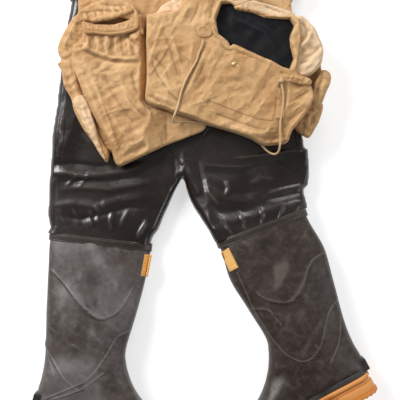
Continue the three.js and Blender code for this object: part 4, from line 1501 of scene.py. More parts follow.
@dataclass
class Boot:
    """A moulded boot on its side, with raised overlays, foxing, sole and heel."""

    leg: Leg
    wardrobe: Wardrobe
    ridges: Sequence[Path]
    laps: Sequence[Path]
    label: Path
    finish: Optional[Material] = None

    def sections(self) -> list[Section]:
        """The boot's cross-sections from its top to the toe, inside the frame's solid.

        Returns:
            The sections.
        """
        leg = self.leg
        top, shaft, shin = leg.top_width / 2, leg.top_depth / 2, leg.shin_depth / 2
        lift, foot, heel = 2.8, BALL_WIDTH / 2 - 2.8, HEEL_WIDTH / 2 + 4
        c = FOOT_CENTRE
        return [
            Section((-top - 1.1 * leg.front_swell, 3), (top, 3), shaft, shaft + lift, 0.62),
            Section((-top - leg.front_swell, -22), (top - 1, -24), shaft + 2, shaft + lift + 2, 0.64),
            Section((-110 - 0.4 * leg.front_swell, -85), (108, -92), (shaft + shin) / 2 + 1,
                (shaft + shin) / 2 + lift, 0.68),
            Section((-100 - 0.15 * leg.front_swell, -155), (101, -170), shin + 1, shin + lift, 0.75),
            Section((-87, -232), (92, -262), shin + 1, shin + lift + 3, 0.8),
            Section((-92, -266), (93, -312), heel + 3, c - 4, 0.8),
            Section((-104, -296), (98, -350), heel + 1, c, 0.8),
            Section((-114, -313), (91, -383), heel, c, 0.8),
            Section(foot_point(0.708, 80.5), foot_point(0.292, 0.3), foot - 6, c, 0.8),
            Section(foot_point(0.768, 64.8), foot_point(0.531, 0.3), foot - 2, c, 0.8),
            Section(foot_point(0.841, 49.6), foot_point(0.74, 0.1), foot, c, 0.8),
            Section(foot_point(0.917, 36), foot_point(0.883, 0.6), foot - 6, c, 0.85),
            Section(foot_point(0.965, 22), foot_point(0.958, 2.5), foot - 20, c, 0.95),
            Section(foot_point(0.985, 12), foot_point(0.983, 6), 8, c, 1.0),
        ]

    def build(self) -> None:
        """Makes every piece of the boot."""
        body = f"{self.leg.name}_shin"
        n = self.leg.name
        shell = lofted(f"{n}_boot", self.sections(), self.leg.from_boot, 176, 26)
        features = [Crease(tuple(rounded(r, 6, False)), 1.4, 1.25, False) for r in self.ridges]
        features += [Lap(tuple(rounded(p, 6, False)), 1.3, 40, 1.2) for p in self.laps]
        features += [Waves(80, 2.2, 21 + self.leg.side), Waves(30, 0.7, 22, 70, 1.8),
            Crumple(70, 2.6, 23, 4, 60, 1.4)]
        raise_along(shell, Surface(0.0, tuple(features)))
        write_relief(shell, 7, 1.5)
        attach(self.wardrobe.dress(shell, Slot.BOOT, self.finish), body)
        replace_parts(shell, *(f"{n}_{part}" for part in ("boot_upper", "shin_overlay", "ankle_overlay", "toe_cap")))
        self.band(body)
        self.sole(body)
        self.patch(body, shell)
        for part, slot in (("insole", Slot.FELT), ("shank", Slot.STEEL)):
            self.wardrobe.dress(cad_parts[f"{n}_{part}"], slot)

    def band(self, body: str) -> None:
        """The joining band round the top of the boot.

        Args:
            body: The body that it rides.
        """
        leg = self.leg
        top, shaft = leg.top_width / 2, leg.top_depth / 2
        rise = 2.6
        half = shaft + rise
        edge = [(9.5, -0.8), (8.8, 0.0), (7.5, 0.7), (6.2, 0.1), (4.6, 0.5), (-4.6, 0.5), (-6.2, 0.1), (-7.5, 0.7),
            (-8.8, 0.0), (-9.5, -0.8)]
        sections = [
            Section((-top - rise - out - 1.1 * leg.front_swell, along), (top + rise + out, along), half + out,
                half + 0.3, 0.62) for along, out in edge
        ]
        band = lofted(f"{leg.name}_joining_band", sections, leg.from_boot, 96, 3)
        write_relief(band, 4, 1.5)
        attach(self.wardrobe.dress(band, Slot.BLACK, self.wardrobe.band), body)
        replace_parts(band, f"{leg.name}_boot_top_band")

    def patch(self, body: str, shell: Piece) -> None:
        """The blank woven label at the front of the boot top, with its stitched border.

        Args:
            body: The body that it rides.
            shell: The boot's upper.
        """
        leg = self.leg
        under = draped(shell)
        base = raised(under, 0.2)
        face = raised(under, 1.9)
        piece = SoftForm(f"{leg.name}_patch", self.label, base, face, rim=1.5, drop=0.8, lift=0, voxel=1.2, smooth=1,
            ragged=0.1, relief=(4, 1.5)).build()
        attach(self.wardrobe.dress(piece, Slot.LABEL), body)
        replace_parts(piece, f"{leg.name}_label")
        inner = scaled(self.label, 0.86)
        stitches = Stitching(f"{leg.name}_patch_stitches", [([*inner, inner[0]], face)], 3.6, 2.4, 0.9).build()
        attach(self.wardrobe.dress(stitches, Slot.BLACK), body)

    def sole(self, body: str) -> None:
        """Foxing, lug, lip, outsole and heel, standing on edge beside the upper.

        Args:
            body: The body that they ride.
        """
        leg, n = self.leg, self.leg.name
        half = [(0, 0), (10, HEEL_WIDTH / 2 - 8), (36, HEEL_WIDTH / 2), (110, HEEL_WIDTH / 2 - 3),
            (170, BALL_WIDTH / 2 - 8)]
        half += [(215, BALL_WIDTH / 2), (262, BALL_WIDTH / 2 - 8), (FOOT_LENGTH - 12, 22), (FOOT_LENGTH, 0)]

        def footprint(reach: float) -> list[Point]:
            """The sole's outline grown by a reach, seen along the leg.

            Args:
                reach: How far it grows.

            Returns:
                The outline.
            """
            points = [(-(x - reach if x == 0 else x + reach if x == FOOT_LENGTH else x),
                y + (reach if y else 0)) for x, y in half]
            return rounded([*points, *[(x, -y) for x, y in reversed(points[1:-1])]], 5)

        origin = leg.from_boot(*SOLE_HEEL)
        along = Vector((*leg.from_boot(*foot_point(-1, 0)), 0)) - Vector((*origin, 0))
        up = Vector((*leg.from_boot(*foot_point(0, 100)), 0)) - Vector((*origin, 0))
        along, up = along.normalized(), up.normalized()
        place = Matrix.Identity(4)
        place.col[0] = (*along, 0)
        place.col[1] = (0, 0, 1, 0)
        place.col[2] = (*up, 0)
        place.col[3] = (*to_frame(*origin, FOOT_CENTRE), 1)
        heel_half = HEEL_WIDTH / 2
        heel = rounded([(2, 0), (-8, heel_half - 9), (-32, heel_half), (-86, heel_half - 3), (-88, 0),
            (-86, 3 - heel_half), (-32, -heel_half), (-8, 9 - heel_half)], 5)
        flare = [(x * 1.03 + 2, y * 1.06) for x, y in heel]
        pieces = (
            (f"{n}_foxing", footprint(0.0), 0.2, 12.0, 1.2, Slot.BLACK, "foxing_band"),
            (f"{n}_lip", footprint(3.0), -10.0, -0.3, 3.0, Slot.SOLE, "sole_lip"),
            (f"{n}_tread_sole", footprint(-1.0), -18.3, -10.3, 1.5, Slot.SOLE, "outsole"),
            (f"{n}_heel", heel, -37.0, -18.6, 1.0, Slot.SOLE, "heel_block"),
        )
        for name, outline, low, high, edge, slot, node in pieces:
            piece = plate(name, outline, low, high, place, edge)
            smoothed(piece.data)
            write_relief(piece, 3, 2.0)
            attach(self.wardrobe.dress(piece, slot), body)
            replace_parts(piece, f"{n}_{node}")
        tread = plate(f"{n}_heel_tread", flare, -46.6, -37.2, place, 1.5)
        self.cleats(tread, place)
        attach(self.wardrobe.dress(tread, Slot.SOLE), body)
        lug = plate(f"{n}_lug", [(9, -22), (9, 22), (-8, 22), (-8, -22)], 3, 30, place, 2.5, 3)
        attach(self.wardrobe.dress(lug, Slot.BLACK), body)
        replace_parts(lug, f"{n}_kick_lug")

    def cleats(self, tread: Piece, place: Matrix) -> None:
        """Adds the tread blocks of the heel and the forefoot to the heel tread.

        Args:
            tread: The heel tread.
            place: The sole's matrix.
        """
        bm = bmesh.new()
        bm.from_mesh(tread.data)
        rows = [(-6 - 11.5 * k, w, -47.4, 3.2) for k, w in enumerate((22, 30, 32, 33, 33, 33, 32))]
        rows += [(-126 - 15 * k, 30 + 14 * math.sin(math.pi * (k + 1) / 13), -20.4, 5.0) for k in range(11)]
        for x, width, level, size in rows:
            made = bmesh.ops.create_cube(bm, size=1.0)["verts"]
            bmesh.ops.scale(bm, vec=(size * MM, 2 * width * MM, 4.4 * MM), verts=made)
            bmesh.ops.translate(bm, vec=(x * MM, 0, level * MM), verts=made)
            edges = list({e for v in made for e in v.link_edges})
            made = bmesh.ops.bevel(bm, geom=edges, offset=1.1 * MM, affect="EDGES", segments=2, profile=0.5,
                material=-1)["verts"]
            block = set(made)
            for v in list(block):
                block |= {e.other_vert(v) for e in v.link_edges}
            bmesh.ops.transform(bm, matrix=place, verts=list(block))
        bm.to_mesh(tread.data)
        bm.free()


# Upper


CHEST_OUTLINE: Path = ((-77.6, 358.9), (-67.5, 365.6), (-54, 366.8), (-33.8, 369), (-13.5, 374.6), (-2.2, 387),
    (9, 400.5), (36, 403.9), (67.5, 402.8), (90, 398.2), (112.5, 389.2), (121.5, 382.5), (155.2, 373.5),
    (184.5, 362.2), (243, 360), (261, 351), (265.5, 315), (261, 274.5), (256.5, 238.5), (272.2, 216), (285.8, 207),
    (292.5, 180), (279, 153), (258.8, 126), (247.5, 112.5), (241.4, 101.2), (231.8, 81), (202.5, 76.5), (177.8, 75.6),
    (149.6, 90.4), (105.8, 107.1), (69.3, 117.5), (40.5, 127.8), (18, 137.2), (-13.5, 146.2), (-39.4, 156.2),
    (-65.2, 163.3), (-81, 179.1), (-78.8, 216), (-77.8, 256.5), (-79.2, 304.7))


def under_chest(x: Array, y: Array) -> Array:
    """How high the upper may stand: it passes under the chest piece and thins out to the right.

    Args:
        x: Plan x of the points.
        y: Plan y of the points.

    Returns:
        The levels.
    """
    outside = np.maximum(-inner_distance(x, y, CHEST_OUTLINE), 0)
    return np.minimum(67.2 + 1.3 * outside, 67.5 + 0.5 * np.maximum(-36 - x, 0))


@dataclass
class Layer:
    """One piece of canvas in the folded bundle."""

    name: str
    outline: Path
    low: float
    high: float
    features: tuple
    nodes: tuple[str, ...] = ()
    slot: Slot = Slot.CANVAS
    rim: float = 6.0
    drop: float = 7.0
    lift: float = 2.0
    voxel: float = 2.8
    tilt: Optional[tuple[Point, Point, float]] = None
    cap: Optional[Field] = None
    # Whether the layer takes the paler canvas, which carries a painted highlight.
    pale: bool = False
    cut: Optional[tuple[Point, Point]] = None
    seed: int = 5

    def level(self) -> Field:
        """The level of the top: flat, or sloping from one point to another by the tilt.

        Returns:
            The level as a field.
        """
        if self.tilt is None:
            return lambda x, y: np.full(x.shape, float(self.high))
        (ax, ay), (bx, by), change = self.tilt
        length = (bx - ax) ** 2 + (by - ay) ** 2
        return lambda x, y: self.high + change * np.clip(((x - ax) * (bx - ax) + (y - ay) * (by - ay)) / length, 0, 1)

    def build(self, wardrobe: Wardrobe, body: str) -> Piece:
        """Makes the layer and joins it to its body.

        Args:
            wardrobe: The finishes.
            body: The body that it rides.

        Returns:
            The piece.
        """
        top = Surface(self.level(), self.features)
        form = SoftForm(
            self.name, self.outline, Surface(self.low), Capped(top, self.cap) if self.cap else top, rim=self.rim,
            drop=self.drop, lift=self.lift, voxel=self.voxel, seed=self.seed, relief=(6, 1.15),
        )
        piece = form.build()
        if self.cut:
            whole, piece = piece, cut_copy(piece, f"{self.name}_trimmed", [self.cut])
            bpy.data.objects.remove(whole)
        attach(wardrobe.dress(piece, self.slot, wardrobe.pale if self.pale else None), body)
        if self.nodes:
            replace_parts(piece, *self.nodes)
        return piece


def gathers(top: Sequence[Point], bottom: Sequence[Point], count: int, width: float, height: float) -> tuple[Fold,
    ...]:
    """Alternate ridges and valleys fanning from one line to another.

    Args:
        top: The two ends of the line where they start.
        bottom: The two ends of the line where they finish.
        count: How many there are.
        width: Width of each.
        height: Height of the ridges; valleys are two thirds as deep.

    Returns:
        The creases.
    """
    made = []
    for i in range(count):
        t = i / (count - 1)
        sway = 0.02 * math.sin(5.1 * i)
        a = tuple(top[0][k] + (top[1][k] - top[0][k]) * t for k in (0, 1))
        b = tuple(bottom[0][k] + (bottom[1][k] - bottom[0][k]) * (t + sway) for k in (0, 1))
        m = tuple((a[k] + b[k]) / 2 + 3.0 * math.sin(2.3 * i + k) for k in (0, 1))
        made.append(Fold((a, m, b), width, height if i % 2 else -0.66 * height))
    return tuple(made)


SIDE_FOLDS = (
    Fold(((-245.2, 281.2), (-211.5, 292.5), (-184.5, 279)), 5, 5.5),
    Fold(((-245.2, 297), (-220.5, 301.5), (-198, 292.5)), 4, 4.0),
    Fold(((-222.8, 288), (-202.5, 279), (-180, 270), (-157.5, 263.2), (-122.6, 260.1), (-85.5, 261.4)), 2.6, -6.0),
    Fold(((-220.5, 294.8), (-198, 285.8), (-175.5, 276.8), (-153, 270), (-121.5, 267.8), (-87.8, 270)), 3.0, 4.5),
    Fold(((-126, 319.5), (-108, 306), (-85.5, 288)), 2.4, -4.5),
    Fold(((-119.2, 324), (-99, 312.8), (-83.2, 299.2)), 3, 3.5),
    Fold(((-211.5, 261), (-193.5, 216), (-171, 166.5), (-139.5, 117), (-108, 76.5)), 9, 3.6),
    Fold(((-180, 247.5), (-157.5, 198), (-126, 148.5), (-90, 108)), 10, -3.2),
    Fold(((-229.5, 256.5), (-211.5, 211.5), (-189, 157.5), (-162, 103.5), (-135, 54)), 6, 3.4),
    Fold(((-144, 247.5), (-130.5, 202.5), (-99, 162), (-54, 130.5)), 9, 3.0),
    Fold(((-112.5, 243), (-103.5, 202.5), (-85.5, 175.5)), 6, -3.4),
    Fold(((-157.5, 67.5), (-117, 76.5), (-67.5, 94.5), (-13.5, 117)), 8, 2.6),
    Fold(((-144, 45), (-99, 67.5), (-40.5, 85.5)), 5, -2.2),
    Fold(((-184.5, 189), (-144, 207), (-94.5, 216)), 5, -2.2),
    Fold(((-202.5, 238.5), (-162, 234), (-117, 243)), 5, 2.6),
    Lap(((-139.5, 67.5), (-157.5, 121.5), (-175.5, 171), (-189, 216)), 3.2, 16, 1.2),
    Lap(((-81, 135), (-108, 162), (-130.5, 198)), 2.8, 14, 1.2),
    Lap(((-13.5, 110.2), (-49.5, 108), (-85.5, 94.5), (-112.5, 74.2)), 2.6, 12, 1.2),
    Lap(((-175.5, 139.5), (-144, 153), (-112.5, 157.5)), 2.4, 12, 1.2),
)


@dataclass
class Upper:
    """The canvas that folds down over the thighs: its under layer, the gathered side and the turned corners."""

    wardrobe: Wardrobe
    band_level: float = 96.0

    def layers(self) -> list[Layer]:
        """The layers from the lowest up.

        Returns:
            The layers.
        """
        return [
            Layer(
                "under_layer",
                ((-236.2, 465.8), (-234, 423), (-234, 373.5), (-256.5, 335.2), (-267.8, 301.5), (-270, 274.5),
                    (-265.5, 261), (-256.5, 216), (-238.5, 171), (-211.5, 117), (-184.5, 76.5), (-148.5, 58.5),
                    (-94.5, 67.5), (-31.5, 99), (31.5, 126), (130.5, 103.5), (198, 94.5), (247.5, 112.5), (279, 153),
                    (301.5, 184.5), (315, 234), (303.8, 288), (283.5, 342), (254.2, 360), (245.2, 396),
                    (240.8, 465.8)),
                50.1, 64, (Waves(40, 1.2, 31), Crumple(36, 2.2, 32)), ("upper_fold",), rim=6, drop=9, voxel=4,
                cut=WAIST_CUT,
            ),
            Layer(
                "side_under_layer",
                ((-229.5, 373.5), (-157.5, 402.8), (-135, 387), (-175.5, 360), (-202.5, 328.5), (-220.5, 301.5),
                    (-234, 265.5), (-231.8, 220.5), (-207, 153), (-180, 94.5), (-162, 63), (-166.5, 38.2),
                    (-176.6, 47.2), (-183.4, 60.8), (-202.5, 87.8), (-225.9, 123.8), (-240.8, 154.1), (-248.8, 182.2),
                    (-263.2, 210.4), (-268.9, 240.8), (-277.9, 258.8), (-270, 267.8), (-277.9, 290.2), (-271.1, 315),
                    (-259.9, 335.2)),
                58, 76, (
                    Fold(((-231.8, 360), (-247.5, 328.5), (-261, 301.5)), 5, 4),
                    Fold(((-272.2, 264.4), (-245.2, 276.8), (-229.5, 270)), 3, -3),
                    Fold(((-263.2, 209.2), (-245.2, 180), (-216, 180)), 4, -3),
                    Fold(((-245.2, 175.5), (-225, 130.5), (-193.5, 76.5)), 4, 3.2),
                    Fold(((-265.5, 243), (-252, 211.5), (-238.5, 184.5)), 4, -3), Crumple(28, 5.0, 33),
                    Crumple(14, 0.8, 63), Waves(22, 1.4, 34),
                ),
                (), rim=6, drop=8, tilt=((-207, 270), (-270, 247.5), -4),
            ),
            Layer(
                "side_light_facet",
                ((-243, 175.5), (-231.8, 186.8), (-216, 184.5), (-200.2, 148.5), (-182.2, 85.5), (-168.8, 45),
                    (-177.8, 49.5), (-193.5, 76.5), (-216, 117), (-231.8, 148.5)),
                66, 80, (Fold(((-225, 171), (-207, 126), (-182.2, 72)), 3, 3), Crumple(20, 2.8, 35),
                    Crumple(14, 0.8, 65)), pale=True, rim=4.5, drop=6, voxel=2.4,
            ),
            Layer(
                "side_cloth",
                ((-220.5, 351.9), (-180, 344.7), (-150.8, 346.5), (-122.6, 353.2), (-94.5, 367.9), (-78.8, 355.5),
                    (-80.1, 306), (-77.8, 256.5), (-77.8, 180), (-58.5, 164.2), (-13.5, 148.5), (40.5, 135),
                    (51.8, 112.5), (6.8, 93.2), (-36, 76.5), (-94.5, 49.5), (-132.8, 31.5), (-145.1, 33.8),
                    (-151.9, 47.2), (-162, 84.4), (-182.2, 117), (-200.2, 148.5), (-221.6, 198), (-239.6, 245.2),
                    (-245.2, 279), (-244.1, 294.8), (-222.8, 315)),
                60, 86, (*SIDE_FOLDS, *gathers(((-216, 319.5), (-96.8, 328.5)), ((-225, 279), (-81, 270)), 13, 3.2,
                    3.4), *gathers(((-207, 321.8), (-101.2, 328.5)), ((-202.5, 299.2), (-94.5, 292.5)), 9, 1.8, 2.0),
                    Crumple(62, 9.5, 36, 5, 55, 1.8), Crumple(29, 3.6, 37, 5, 30, 1.8), Waves(60, 1.2, 38)),
                ("side_panel",), rim=6, drop=14, cap=under_chest,
            ),
            Layer(
                "turned_edge",
                ((-56.2, 364.5), (-51.8, 378), (-39.4, 389.2), (-7.7, 408.4), (4.5, 409.5), (-1.1, 375.8),
                    (-33.8, 369)),
                70, 84, (Crumple(20, 2.2, 39), Crumple(14, 0.8, 69),), ("turned_strip",), pale=True, rim=4.5, drop=7,
                voxel=2.4,
            ),
            Layer(
                "side_back_fold",
                ((-230.2, 373.5), (-202.5, 389.2), (-180, 398.2), (-157.5, 405), (-130.5, 400.5), (-114.8, 391.5),
                    (-103.5, 382.5), (-90.9, 357.8), (-83.2, 321.8), (-96.8, 328.5), (-112.5, 351), (-139.5, 360),
                    (-175.5, 357.8), (-202.5, 351), (-220.5, 351), (-227.2, 360)),
                70, 88, (*gathers(((-225, 369), (-121.5, 387)), ((-216, 351), (-103.5, 364.5)), 15, 2.4, 3.6),
                    Crumple(18, 2.4, 40), Fold(((-180, 387.7), (-150.8, 384.8), (-122.6, 384.8)), 2.2, -3.5),
                    Fold(((-227.2, 366.8), (-184.5, 373.5), (-139.5, 373.5)), 2.2, -3.5),
                    Fold(((-108, 382.5), (-99, 360), (-92.2, 333)), 2.5, 3.2)),
                (), rim=4.5, drop=10, voxel=2.4,
            ),
            Layer(
                "back_elastic_band",
                ((-200.2, 347.6), (-195.8, 357.8), (-166.5, 364.5), (-139.5, 370.1), (-114.8, 379.1), (-110.2, 370.1),
                    (-135, 360), (-166.5, 351)),
                84, 96.6, (*gathers(((-198, 355.5), (-114.8, 378)), ((-195.8, 346.5), (-110.2, 369)), 13, 1.5, 1.5),),
                ("back_casing",), rim=5, drop=4, voxel=2.0,
            ),
            Layer(
                "front_elastic_band",
                ((-218.7, 349.9), (-200.2, 344.2), (-180, 342), (-150.8, 343.1), (-122.6, 349.9), (-96.8, 363.4),
                    (-94.5, 348.8), (-97.9, 333), (-122.6, 322.9), (-157.5, 318.4), (-194.2, 321.8), (-216, 324)),
                84, 95.8, (
                    *gathers(((-218.2, 346.5), (-96.8, 362.2)), ((-216, 324), (-99, 333)), 41, 1.1, 1.3),
                    Fold(((-216, 329.6), (-191.2, 327.4), (-157.5, 324), (-126, 328.5), (-100.1, 337.5)), 1.0, -1.8,
                        False),
                    Fold(((-216, 343.1), (-184.5, 337.1), (-150.8, 338.4), (-123.8, 344.7), (-97.7, 357.3)), 1.0,
                        -1.6, False),
                ), ("front_casing",), rim=5, drop=5, voxel=1.8,
            ),
            Layer(
                "folded_lower_corner",
                ((249.8, 114.8), (258.8, 131.6), (274.5, 164.2), (294.8, 177.8), (312.8, 171), (315, 158.6),
                    (303.8, 126), (287.3, 97.9), (276.8, 94.5)),
                56, 80, (Crumple(24, 3.9, 41), Crumple(14, 0.8, 71),
                    Fold(((265.5, 117), (283.5, 139.5), (306, 157.5)), 4, 3)), ("lower_corner",), rim=4.5, drop=9,
            ),
            Layer(
                "folded_upper_corner",
                ((290.2, 139.5), (290.2, 198), (301.5, 229.5), (315, 245.2), (331.9, 236.2), (330.8, 216),
                    (319.5, 186.8), (310.5, 164.2), (299.2, 146.2)),
                56, 82, (Crumple(24, 3.5, 42), Crumple(14, 0.8, 72),
                    Fold(((301.5, 162), (310.5, 198), (324, 229.5)), 3.4, 3.4),
                    Fold(((292.5, 180), (303.8, 207), (312.8, 234)), 2.6, -3)),
                ("upper_corner",), rim=4.5, drop=9,
            ),
        ]

    def build(self) -> None:
        """Makes the layers and the stitches of the elastic bands."""
        for layer in self.layers():
            layer.build(self.wardrobe, "upper")
        flat = Surface(self.band_level)
        rows = [(((-216, 342), (-184.5, 336.2), (-150.8, 337.5), (-123.8, 343.8), (-97.7, 355.9)), flat),
            (((-216, 327.4), (-191.2, 324.9), (-157.5, 321.8), (-126, 326.2), (-101.2, 335.2)), flat)]
        stitches = Stitching("band_stitches", rows, 3.6, 2.2, 0.8).build()
        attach(self.wardrobe.dress(stitches, Slot.CORD), "upper")


# Chest


CHEST_FOLDS = (
    Fold(((-39.4, 353.2), (-49.5, 319.5), (-65.2, 279), (-76.5, 232.9)), 4.5, 3.5),
    Fold(((-39.4, 321.8), (-27, 292.5), (-18, 261), (-7.7, 227.2)), 3.6, -3.6),
    Fold(((-27, 324), (-13.5, 288), (-4.5, 256.5), (6.8, 225)), 4.5, 3.0),
    Fold(((-49.5, 216), (-27, 247.5), (0, 274.5)), 4, 2.4), Fold(((-58.5, 270), (-36, 243), (-22.5, 207)), 4, -2.2),
    Fold(((9, 387), (-13.5, 355.5), (-27, 328.5)), 5, -3.2), Fold(((22.5, 391.5), (4.5, 360), (-9, 328.5)), 5, 3.4),
    Fold(((40.5, 396), (31.5, 364.5), (13.5, 333)), 4, -2.8),
    Fold(((-72, 211.5), (-54, 184.5), (-22.5, 171), (9, 162)), 5, 2.8),
    Fold(((-74.2, 189), (-49.5, 171), (-13.5, 157.5)), 4, -2.5),
    Fold(((58.5, 391.5), (49.5, 364.5), (47.2, 328.5)), 4.5, 2.8),
    Fold(((76.5, 400.5), (65.2, 373.5), (63, 346.5)), 4, -3.2),
    Fold(((31.5, 310.5), (18, 270), (-4.5, 225)), 9, 2.4), Fold(((67.5, 292.5), (49.5, 252), (27, 202.5)), 6, -2.4),
    Fold(((90, 288), (67.5, 243), (40.5, 189)), 5, 2.2),
    Fold(((63, 135), (112.5, 117), (157.5, 101.2), (198, 94.5)), 5, 2.8),
    Fold(((54, 150.8), (103.5, 133.9), (166.5, 111.4), (216, 108)), 2.6, -3.4),
    Fold(((238.5, 220.5), (234, 180), (225, 135)), 6, 2.6), Fold(((229.5, 126), (256.5, 144), (279, 162)), 3.6, -4.2),
    Fold(((232.9, 166.5), (261, 182.2), (283.5, 198)), 3.6, -4.0),
    Fold(((238.5, 148.5), (261, 162), (279, 177.8)), 4.5, 3.4),
    Fold(((238.5, 184.5), (261, 198), (285.8, 216)), 4.5, 3.2),
    Mound((265.5, 202.5), (20, 24), -8), Mound((-49.5, 247.5), (24, 60), -3), Mound((198, 90), (34, 12), -6),
    Lap(((-65.2, 265.5), (-49.5, 229.5), (-22.5, 189), (4.5, 166.5)), 2.8, 15, 1.2),
    Lap(((51.8, 288), (31.5, 247.5), (13.5, 207)), 2.4, 13, 1.2),
    Lap(((180, 180), (166.5, 153), (144, 126)), 2.2, 12, 1.2),
    Lap(((-72, 225), (-42.8, 265.5), (-22.5, 301.5)), 2.6, 13, 1.2),
    Lap(((22.5, 162), (54, 171), (90, 189)), 2.0, 12, 1.2),
    Lap(((193.5, 117), (180, 103.5), (148.5, 103.5)), 2.6, 10, 1.2),
    Crumple(64, 9.0, 51, 5, 60, 1.7), Crumple(30, 3.4, 52, 5, 20, 1.8), Waves(60, 1.0, 53),
)


